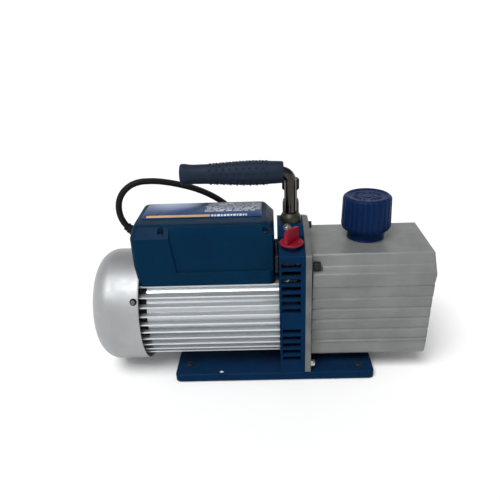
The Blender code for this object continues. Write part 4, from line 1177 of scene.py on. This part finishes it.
@dataclass
class Cowl:
    """Pressed sheet cowl over the fan, with air slots and its radial screws."""

    segments: int = 120
    sheet: float = 0.0016
    face_radius: float = 0.0450
    round_start: float = -0.1795
    slot_reach: Pair = (0.0170, 0.0410)
    slots: int = 12
    slot_share: int = 2
    screw_x: float = -0.1495
    screw_angles: tuple[float, ...] = (30.0, 150.0, 270.0)

    def build(self, shop: Workshop) -> None:
        """Spin the cowl, open its slots and set its screws."""
        low, high = shop.span("fan_cowl")
        centre = Vector((0.0, (low.y + high.y) / 2.0, (low.z + high.z) / 2.0))
        radius = (high.z - low.z) / 2.0
        self._shell(shop, low.x, high.x, radius, centre)
        self._screws(shop, radius, centre)

    def _shell(self, shop: Workshop, end: float, rim: float, radius: float, centre: Vector) -> None:
        """Spin the outer skin, cut the slots and give the sheet its thickness.

        Args:
            shop: The workshop that the piece is added to.
            end: Where the flat end lies along X.
            rim: Where the open rim lies along X.
            radius: The cowl's outer radius.
            centre: A point on the shaft line.
        """
        depth = self.round_start - end
        drop = radius - self.face_radius
        profile = [(rim, radius - 0.0004), (rim - 0.0006, radius), (rim - 0.0030, radius)]
        profile += [(rim - 0.0060, radius - 0.0002), (self.round_start + 0.0100, radius - 0.0001)]
        for step in range(17):
            angle = math.pi / 2.0 * step / 16
            along = self.round_start - depth * math.sin(angle)
            profile.append((along, self.face_radius + drop * math.cos(angle)))
        inner, outer = self.slot_reach
        profile += [(end, outer), (end, (inner + outer) / 2.0), (end, inner), (end, 0.0120)]
        profile += [(end + 0.0010, 0.0105), (end + 0.0010, 0.0)]
        form = Form.turned(profile, centre, Axis.X, self.segments)
        per_slot = self.segments // self.slots
        doomed = []
        for face in form.mesh.faces:
            middle = face.calc_center_median() - centre
            reach = math.hypot(middle.y, middle.z)
            if abs(middle.x - end) < 1e-5 and inner < reach < outer:
                bearing = math.degrees(math.atan2(middle.y, middle.z)) % 360.0
                index = int(bearing * self.segments / 360.0)
                if index % per_slot < self.slot_share:
                    doomed.append(face)
        bmesh.ops.delete(form.mesh, geom=doomed, context="FACES")
        bmesh.ops.recalc_face_normals(form.mesh, faces=form.mesh.faces)
        cap = min(form.mesh.faces, key=lambda face: face.calc_center_median().x)
        if cap.normal.x > 0.0:
            bmesh.ops.reverse_faces(form.mesh, faces=form.mesh.faces)
        piece = shop.add(form, "fan_cowl_skin", "silver_paint", "pump", ["fan_cowl"])
        wall = piece.modifiers.new("sheet", "SOLIDIFY")
        wall.thickness = self.sheet
        wall.offset = -1.0
        edge = piece.modifiers.new("edge", "BEVEL")
        edge.width = 0.0003
        edge.segments = 2
        edge.limit_method = "ANGLE"
        edge.angle_limit = math.radians(50.0)

    def _screws(self, shop: Workshop, radius: float, centre: Vector) -> None:
        """Set the three radial screws, each on a flat near-black disc that is painted shade in its hole.
        """
        screws = Form()
        shadow_discs = Form()
        for angle in self.screw_angles:
            turn = math.radians(angle)
            out = Vector((0.0, -math.cos(turn), math.sin(turn)))
            foot = centre + Vector((self.screw_x, 0.0, 0.0)) + out * (radius - 0.0006)
            rim = [(0.0, 0.0), (0.0, 0.0042), (0.00075, 0.0042), (0.00085, 0.0039), (0.00085, 0.0)]
            # Each hole is only a thin near-black disc on the sheet: painted shade where a recess would be
            # dark.
            hole = Form.turned(rim, (0.0, 0.0, 0.0), Axis.Z, 40)
            shadow_discs.joined(hole.moved(Matrix.Translation(foot) @ facing(out)))
            seat = foot + out * 0.0006 + Vector((-0.0006, 0.0, -0.0008))
            screw = Fastener(tuple(seat), tuple(out), 0.0026, 0.0008, ScrewDrive.CROSS, 0.0004)
            screws.joined(screw.form())
        shop.add(shadow_discs, "cowl_screw_hole_shadows", HOLE_SHADOW_FINISH)
        shop.add(screws, "cowl_screws", "flange_metal")


@dataclass
class Motor:
    """Finned motor frame, its end shields and what turns inside it."""

    fin_edge: float = 0.00055
    cowl: Cowl = field(default_factory=Cowl)

    def build(self, shop: Workshop) -> None:
        """Dress the motor from its fins inwards."""
        shop.refine("motor_frame", "bare_aluminium", self.fin_edge, angle=35.0, segments=3)
        # The stay is black all over and fills the gap between the box and the bracket: partly a real
        # black stay, partly painted shade in that gap.
        shop.refine("box_stay", "black_metal", 0.0008)
        shop.dress("black_metal", "rear_shield", "front_shield")
        shop.dress("bright_steel", "bearing_rear", "bearing_front", "motor_shaft")
        shop.dress("lamination", "stator_core", "rotor_core")
        shop.dress("copper", "stator_winding")
        shop.dress("black_plastic", "cooling_fan")
        shop.dress("cast_iron", "shaft_coupling")
        self.cowl.build(shop)


@dataclass
class Label:
    """Printed label on the box's cover, with a stripe and rows of plain marks."""

    lift: float = 0.00008
    stripe: tuple[Pair, Pair] = ((-0.1330, -0.0160), (-0.0590, -0.0090))
    title: tuple[Pair, Pair] = ((-0.0575, -0.0157), (-0.0130, -0.0093))
    field: tuple[Pair, Pair] = ((-0.0690, 0.0010), (-0.0010, 0.0300))
    rows: int = 7

    def build(self, shop: Workshop) -> None:
        """Lay the film, then its stripe and marks."""
        low, high = shop.span("box_label")
        outline = rounded_rectangle((low.x, low.y), (high.x, high.y), 0.004, 8)
        film = Form.prism(outline, low.z, high.z, Axis.Z).bevelled(0.0001, 60.0, 2)
        shop.add(film, "box_label_skin", "label_print", "pump", ["box_label"])
        self._stripe(shop, high.z)
        self._marks(shop, high.z)

    def _strip(self, low: Pair, high: Pair, top: float) -> Form:
        """Return a thin printed strip on the film."""
        return Form.block((low[0], low[1], top - 0.0001), (high[0], high[1], top + self.lift))

    def _stripe(self, shop: Workshop, top: float) -> None:
        """Lay the tan stripe along the front."""
        shop.add(self._strip(*self.stripe, top), "label_stripe", STRIPE_FINISH)

    def _marks(self, shop: Workshop, top: float) -> None:
        """Lay rows of plain pale blocks where a label has its print."""
        chance = random.Random(7)
        marks = Form()
        (left, low), (right, high) = self.title
        x = left
        while x < right - 0.0020:
            width = chance.uniform(0.0018, 0.0042)
            marks.joined(self._strip((x, low), (min(x + width, right), high), top))
            x += width + 0.0011
        (left, low), (right, high) = self.field
        step = (high - low) / self.rows
        for row in range(self.rows):
            y = low + step * row
            x = left + chance.uniform(0.0, 0.006)
            while x < right - 0.0040:
                width = chance.uniform(0.0035, 0.0130)
                tall = step * chance.uniform(0.38, 0.62)
                marks.joined(self._strip((x, y), (min(x + width, right), y + tall), top))
                x += width + chance.uniform(0.0012, 0.0034)
        shop.add(marks, "label_marks", MARK_FINISH)


@dataclass
class TerminalBox:
    """Moulded terminal box with its cover, screws, switch and capacitor."""

    edge: float = 0.0007
    lid_edge: float = 0.0006
    well_stations: Pair = (-0.1122, 0.0052)
    well_side: float = 0.0417
    well_bottom: float = 0.1872
    label: Label = field(default_factory=Label)

    def build(self, shop: Workshop) -> None:
        """Dress the box, then its cover, print, screws and switch."""
        shop.refine("terminal_box", "box_plastic", self.edge, segments=3)
        shop.refine("box_lid", "box_plastic", self.lid_edge, segments=3, angle=20.0)
        self.label.build(shop)
        screws = Form()
        for x in self.well_stations:
            for side in (-1.0, 1.0):
                place = (x, side * self.well_side, self.well_bottom - 0.0002)
                screw = Fastener(place, (0.0, 0.0, 1.0), 0.0028, 0.0010, ScrewDrive.CROSS, 0.0006)
                screws.joined(screw.form())
        shop.add(screws, "lid_screws", "black_metal")
        shop.dress("black_plastic", "run_capacitor")
        shop.refine("switch_bezel", "black_plastic", 0.0003)
        shop.refine("switch_rocker", "black_plastic", 0.0003, "switch_rocker")


@dataclass
class Bracket:
    """Cast bracket with its vents, the flange plate and the bolts on both."""

    edge: float = 0.0005
    ridge_half: float = 0.0165
    roof_fall: float = 0.0173
    roof_run: float = 0.0495
    roof_bolt: Pair = (0.0300, -0.0195)
    flange_bolt: Pair = (0.0080, 0.1752)

    def build(self, shop: Workshop) -> None:
        """Dress the castings and add their loose bolts."""
        shop.refine("bracket", "blue_paint", self.edge, segments=2)
        shop.refine("flange_plate", "flange_metal", self.edge, segments=2)
        shop.dress("black_rubber", "case_gasket")
        self._bolts(shop)

    def _bolts(self, shop: Workshop) -> None:
        """Add the zinc bolt on the roof and the black one on the flange."""
        bracket_high = shop.span("bracket")[1]
        flange_high = shop.span("flange_plate")[1]
        slope = math.atan2(self.roof_fall, self.roof_run)
        out = (0.0, -math.sin(slope), math.cos(slope))
        x, y = self.roof_bolt
        z = bracket_high.z - (abs(y) - self.ridge_half) * math.tan(slope)
        profile = [(0.0, 0.0), (0.0, 0.0048), (0.0006, 0.0048), (0.0008, 0.0046), (0.0008, 0.0)]
        washer = Form.turned(profile, axis=Axis.Z, segments=40)
        washer.moved(Matrix.Translation((x, y, z - 0.0002)) @ facing(out))
        head = Fastener((x, y, z + 0.0005), out, 0.0037, 0.0028, ScrewDrive.HEX)
        washer.joined(head.form())
        shop.add(washer, "roof_bolt", "bright_steel")
        place = (flange_high.x, *self.flange_bolt)
        bolt = Fastener(place, (1.0, 0.0, 0.0), 0.0042, 0.0044, ScrewDrive.SOCKET)
        shop.add(bolt.form(), "flange_bolt", "black_metal")


@dataclass
class OilCase:
    """Ribbed oil case with its bolts, sight glass and drain plug."""

    edge: float = 0.0006

    def build(self, shop: Workshop) -> None:
        """Dress the case, then the parts that are screwed to it."""
        shop.refine("oil_case", "case_paint", self.edge, angle=18.0, segments=2)
        shop.refine("sight_bezel", "bright_steel", 0.0003)
        shop.dress("clear_glass", "sight_lens")
        shop.refine("drain_plug", "brass", 0.0004, "drain_plug")
        for hand in ("front", "rear"):
            self._bolt(shop, f"case_bolt_upper_{hand}", ScrewDrive.SOCKET, 0.0, "black_metal")
            self._bolt(shop, f"case_bolt_lower_{hand}", ScrewDrive.SOCKET, 0.0006, "bright_steel")

    @staticmethod
    def _bolt(shop: Workshop, node: str, drive: ScrewDrive, dome: float, finish: str) -> None:
        """Stand a detailed bolt in a plain one's place."""
        low, high = shop.span(node)
        middle = (low + high) / 2.0
        radius = (high.z - low.z) / 2.0
        place = (low.x, middle.y, middle.z)
        bolt = Fastener(place, (1.0, 0.0, 0.0), radius, high.x - low.x - dome, drive, dome)
        shop.add(bolt.form(), f"{node}_skin", finish, "pump", [node])


@dataclass
class Exhaust:
    """Exhaust neck, its filter and the fluted cap."""

    flutes: int = 26
    steps: int = 12
    groove: float = 0.0013
    taper: float = 0.034

    def build(self, shop: Workshop) -> None:
        """Turn the neck and the cap, and dress the filter."""
        shop.dress("filter_felt", "exhaust_filter")
        self._neck(shop)
        self._cap(shop)

    def _neck(self, shop: Workshop) -> None:
        """Turn the neck with a bead under the cap and a rounded foot."""
        low, high = shop.span("exhaust_neck")
        centre = (low + high) / 2.0
        radius = (high.x - low.x) / 2.0
        skirt = 0.1712
        profile = [
            (low.z, 0.0170), (low.z, radius), (low.z + 0.0012, radius),
            (low.z + 0.0018, radius - 0.0005),
            (skirt - 0.0035, radius - 0.0005), (skirt - 0.0030, radius), (skirt - 0.0006, radius),
            (skirt, radius - 0.0005), (skirt, 0.0205), (high.z - 0.0004, 0.0205),
            (high.z, 0.0201), (high.z, 0.0170),
        ]
        form = Form.turned(profile, (centre.x, centre.y, 0.0), Axis.Z, 96, True)
        shop.add(form, "exhaust_neck_skin", "cap_plastic", "pump", ["exhaust_neck"])

    def _cap(self, shop: Workshop) -> None:
        """Turn the cap, press its flutes and emboss its top."""
        low, high = shop.span("exhaust_cap")
        x, y = ((low + high) / 2.0)[:2]
        radius = (high.x - low.x) / 2.0
        bottom, top = low.z, high.z
        profile = [
            (bottom, 0.0252), (bottom, radius * 0.925), (bottom + 0.0003, radius * 0.945),
            (bottom + 0.0036, radius * 0.995), (bottom + 0.0044, radius),
        ]
        steps = 6
        for step in range(1, steps + 1):
            share = step / steps
            along = bottom + 0.0044 + (top - 0.0034 - bottom - 0.0044) * share
            profile.append((along, radius * (1.0 - self.taper * share)))
        rim = radius * (1.0 - self.taper)
        profile += [
            (top - 0.0022, rim - 0.0004), (top - 0.0006, rim - 0.0022), (top - 0.0001, rim - 0.0032),
            (top, rim - 0.0042), (top - 0.0003, rim - 0.0052), (top - 0.0009, rim - 0.0060),
            (top - 0.0009, rim - 0.0120), (top - 0.0008, 0.0),
        ]
        form = Form.turned(profile, (x, y, 0.0), Axis.Z, self.flutes * self.steps)
        hollow = [(bottom, 0.0252), (top - 0.0040, 0.0252), (top - 0.0040, 0.0)]
        form.joined(Form.turned(hollow, (x, y, 0.0), Axis.Z, self.flutes * self.steps))
        bmesh.ops.remove_doubles(form.mesh, verts=form.mesh.verts, dist=2e-6)
        bmesh.ops.recalc_face_normals(form.mesh, faces=form.mesh.faces)
        form.shaped(lambda point: self._fluted(point, (x, y), bottom, top, rim))
        form.joined(*self._emboss((x, y), top - 0.0009))
        shop.add(form, "exhaust_cap_skin", "cap_plastic", "exhaust_cap", ["exhaust_cap"], sharp=50.0)

    def _fluted(self, point: Vector, centre: Pair, bottom: float, top: float, rim: float) -> Vector:
        """Press the flutes into the cap's side, running out at its rim and its lower edge."""
        flat = Vector((point.x - centre[0], point.y - centre[1]))
        if flat.length < 0.0260 or flat.length < rim - 0.0036:
            return point
        turn = math.atan2(flat.y, flat.x) * self.flutes / (2.0 * math.pi)
        away = abs(turn - round(turn)) * 2.0
        depth = self.groove * max(0.0, 1.0 - (away / 0.42) ** 2)
        crown = 0.0004 * max(0.0, (away - 0.42) / 0.58)
        if point.z > top - 0.0030:
            depth *= max(0.0, (top - point.z) / 0.0030)
            crown = 0.0
        if point.z < bottom + 0.0020:
            crown = 0.0
        flat *= (flat.length - depth - 0.0002 + crown * 0.5) / flat.length
        return Vector((centre[0] + flat.x, centre[1] + flat.y, point.z))

    def _emboss(self, centre: Pair, level: float) -> list[Form]:
        """Return the plain raised bars that ring the cap's top.

        Args:
            centre: The cap's centre.
            level: The height of the sunk top.

        Returns:
            One form for each bar.
        """
        chance = random.Random(3)
        bars = []
        count = 22
        for index in range(count):
            if index % 11 in (5, 10):
                continue
            turn = Matrix.Rotation(2.0 * math.pi * index / count, 4, "Z")
            inner = 0.0118 + chance.uniform(-0.0006, 0.0006)
            bar = Form.block((inner, -0.0009, -0.0006), (inner + 0.0052, 0.0009, 0.0005))
            bar.bevelled(0.0003, 40.0, 2)
            bars.append(bar.moved(Matrix.Translation((*centre, level)) @ turn))
        ring = [
            (-0.0004, 0.0072), (0.0003, 0.0074), (0.0005, 0.0079), (0.0003, 0.0084),
            (-0.0004, 0.0086),
        ]
        bars.append(Form.turned(ring, (*centre, level), Axis.Z, 64, True))
        return bars


@dataclass
class PumpModule:
    """The two vane stages inside the oil case."""

    def build(self, shop: Workshop) -> None:
        """Dress the stages' plates, cylinders, rotors and vanes."""
        shop.dress("cast_iron", "seal_plate", "centre_plate", "end_cover")
        shop.dress("cast_iron", "cylinder_high", "cylinder_low")
        shop.dress("black_rubber", "shaft_seal")
        shop.dress("bright_steel", "rotor_high", "rotor_low")
        shop.dress("composite", *(f"vane_{stage}_{side}" for stage in ("high", "low") for side in "ab"))


@dataclass
class Intake:
    """Intake fitting with its knurled dust cap."""

    knurls: int = 36

    def build(self, shop: Workshop) -> None:
        """Turn the fitting and its cap."""
        low, high = shop.span("intake_body")
        x, y = ((low + high) / 2.0)[:2]
        radius = (high.x - low.x) / 2.0
        base = low.z
        neck = high.z - 0.0205
        profile = [
            (base, 0.0), (base, radius), (neck - 0.0042, radius), (neck - 0.0034, radius - 0.0006),
            (neck - 0.0015, radius - 0.0006), (neck, 0.0080),
        ]
        threads = 7
        for index in range(threads):
            start = neck + 0.0008 + 0.0015 * index
            profile += [(start, 0.0080), (start + 0.0007, 0.0073)]
        profile += [(neck + 0.0115, 0.0079), (neck + 0.0115, 0.0060), (high.z, 0.0060), (high.z, 0.0)]
        form = Form.turned(profile, (x, y, 0.0), Axis.Z, 64)
        shop.add(form, "intake_body_skin", "brass", "pump", ["intake_body"])
        self._cap(shop)

    def _cap(self, shop: Workshop) -> None:
        """Turn the dust cap and press its knurled side."""
        low, high = shop.span("intake_cap")
        x, y = ((low + high) / 2.0)[:2]
        radius = (high.x - low.x) / 2.0
        profile = [
            (low.z, 0.0064), (low.z, radius - 0.0006), (low.z + 0.0006, radius),
            (high.z - 0.0016, radius), (high.z - 0.0006, radius - 0.0005),
            (high.z, radius - 0.0016), (high.z - 0.0005, radius - 0.0026), (high.z - 0.0005, 0.0),
        ]
        form = Form.turned(profile, (x, y, 0.0), Axis.Z, self.knurls * 4)
        hollow = [(low.z, 0.0064), (high.z - 0.0038, 0.0064), (high.z - 0.0038, 0.0)]
        form.joined(Form.turned(hollow, (x, y, 0.0), Axis.Z, self.knurls * 4))
        bmesh.ops.remove_doubles(form.mesh, verts=form.mesh.verts, dist=2e-6)
        bmesh.ops.recalc_face_normals(form.mesh, faces=form.mesh.faces)

        def knurled(point: Vector) -> Vector:
            """Draw every other stretch of the side in a little."""
            flat = Vector((point.x - x, point.y - y))
            if flat.length < radius - 0.0004:
                return point
            wave = math.cos(math.atan2(flat.y, flat.x) * self.knurls)
            flat *= (flat.length - 0.0003 * (1.0 - wave)) / flat.length
            return Vector((x + flat.x, y + flat.y, point.z))

        form.shaped(knurled)
        shop.add(form, "intake_cap_skin", "black_plastic", "intake_cap", ["intake_cap"])


@dataclass
class BallastKnob:
    """Red gas ballast knob, turned about its upright axis."""

    seat: Point = (0.0338, -0.0490, 0.1741)
    wing_turn: float = 55.0
    wing_half: float = 0.0126
    wing_thick: float = 0.0050
    wing_top: float = 0.0189

    def build(self, shop: Workshop) -> None:
        """Turn the disc and shape the finger wing that stands across it."""
        profile = [
            (0.0003, 0.0), (0.0003, 0.0070), (0.0013, 0.0070), (0.0013, 0.0124), (0.0016, 0.0131),
            (0.0023, 0.0135), (0.0033, 0.0135), (0.0040, 0.0131), (0.0043, 0.0124), (0.0040, 0.0112),
            (0.0038, 0.0095), (0.0039, 0.0),
        ]
        knob = Form.turned(profile, (0.0, 0.0, 0.0), Axis.Z, 72)
        half = self.wing_half
        top = self.wing_top
        right = [(half * 0.96, 0.0030), (half, 0.0060), (half, top - 0.0040), (half * 0.97, top - 0.0020)]
        right += [(half * 0.90, top - 0.0006), (half * 0.78, top)]
        outline = right + [(-a, b) for a, b in reversed(right)]
        thick = self.wing_thick / 2.0
        wing = Form.prism(outline, -thick, thick, Axis.Y).bevelled(0.0010, 40.0, 4)

        def waisted(point: Vector) -> Vector:
            """Thin the wing a little towards its tips."""
            return Vector((point.x, point.y * (1.1 - 0.3 * (point.x / half) ** 2), point.z))

        wing.shaped(waisted)
        wing.moved(Matrix.Rotation(math.radians(self.wing_turn), 4, "Z"))
        knob.joined(wing).moved(Matrix.Translation(self.seat))
        shop.add(knob, "ballast_knob_skin", "red_plastic", "ballast_knob", ["ballast_knob"], sharp=50.0)


@dataclass
class Handle:
    """Bent handle rod, its collar and the studded grip."""

    rod_radius: float = 0.0066
    rod_x: float = 0.0350
    bend: float = 0.0110
    grip_z: float = 0.2432
    dot_rows: int = 14
    dot_columns: int = 9
    dot_reach: Pair = (-0.0560, 0.0080)
    dot_radius: float = 0.0016

    def build(self, shop: Workshop) -> None:
        """Draw the rod, then put the grip and the collar on it."""
        self._rod(shop)
        self._grip(shop)
        self._collar(shop)

    def _rod(self, shop: Workshop) -> None:
        """Draw the rod up from the bracket and round into the grip."""
        low, high = shop.span("handle_rod")
        middle = (low.y + high.y) / 2.0
        corner = (self.rod_x - self.bend, self.grip_z - self.bend)
        line = [(self.rod_x, low.z), (self.rod_x, low.z + 0.02)]
        line += ring_points(corner, self.bend, 0.0, 90.0, 20)
        line += [(low.x, self.grip_z)]
        route = [Vector((x, middle, z)) for x, z in line]
        form = Form.swept(route, [self.rod_radius] * len(route), 40)
        shop.add(form, "handle_rod_skin", "dark_steel", "pump", ["handle_rod"])

    def _half(self, x: float, profile: Sequence[Pair]) -> float:
        """Return the grip's radius at a place along it."""
        for (first, near), (second, far) in zip(profile, profile[1:]):
            if first <= x <= second:
                return near + (far - near) * (x - first) / (second - first)
        return profile[-1][1]

    def _grip(self, shop: Workshop) -> None:
        """Turn the grip's swell and stud it with rows of small domes."""
        low, high = shop.span("handle_grip")
        left, right = low.x, high.x
        outer = [
            (left, 0.0104), (left + 0.0006, 0.0116), (left + 0.0018, 0.0122),
            (left + 0.0050, 0.0122), (left + 0.0075, 0.0119), (left + 0.0105, 0.0113),
            (left + 0.0150, 0.0110), (-0.0600, 0.0112), (-0.0480, 0.0117), (-0.0350, 0.0125),
            (-0.0220, 0.0132), (-0.0080, 0.0136), (0.0020, 0.0134), (0.0120, 0.0130),
            (0.0190, 0.0127), (0.0250, 0.0124), (right - 0.0008, 0.0121), (right, 0.0112),
        ]
        hollow = self.rod_radius + 0.0003
        inner = [(right, self.rod_radius + 0.0022), (right - 0.0060, hollow), (right - 0.0062, 0.0)]
        profile = [(left, 0.0)] + outer + inner
        form = Form.turned(profile, (0.0, 0.0, self.grip_z), Axis.X, 72)
        start, end = self.dot_reach
        for row in range(self.dot_rows):
            angle = 2.0 * math.pi * row / self.dot_rows
            for column in range(self.dot_columns):
                share = (column + 0.5 * (row % 2)) / (self.dot_columns - 0.5)
                x = start + (end - start) * share
                radius = self._half(x, outer) - 0.0004
                place = (x, radius * math.sin(angle), self.grip_z + radius * math.cos(angle))
                form.joined(Form.bead(place, self.dot_radius, 10))
        shop.add(form, "handle_grip_skin", "grip_rubber", "pump", ["handle_grip"], sharp=60.0)

    def _collar(self, shop: Workshop) -> None:
        """Turn the collar that clamps the rod on the roof."""
        low, high = shop.span("handle_collar")
        x, y = ((low + high) / 2.0)[:2]
        radius = (high.x - low.x) / 2.0
        hole = self.rod_radius + 0.0003
        profile = [
            (low.z, hole), (low.z, radius - 0.0004), (low.z + 0.0004, radius),
            (high.z - 0.0044, radius), (high.z - 0.0036, radius - 0.0006),
            (high.z - 0.0010, 0.0102), (high.z, 0.0092), (high.z, hole),
        ]
        form = Form.turned(profile, (x, y, 0.0), Axis.Z, 64, True)
        shop.add(form, "handle_collar_skin", "brass", "pump", ["handle_collar"])


def main() -> None:
    """Build the studio and every sub-assembly in order."""
    logging.basicConfig(level=logging.INFO, format="%(message)s")
    shop = Workshop(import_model())
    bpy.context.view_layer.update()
    Studio().build()
    SupplyCord().build(shop)
    assemblies = (Base(), Motor(), TerminalBox(), Bracket(), OilCase(), Exhaust(), PumpModule())
    for assembly in assemblies + (Intake(), BallastKnob(), Handle()):
        assembly.build(shop)
        LOG.info("finished the %s", type(assembly).__name__)


if __name__ == "__main__":
    main()
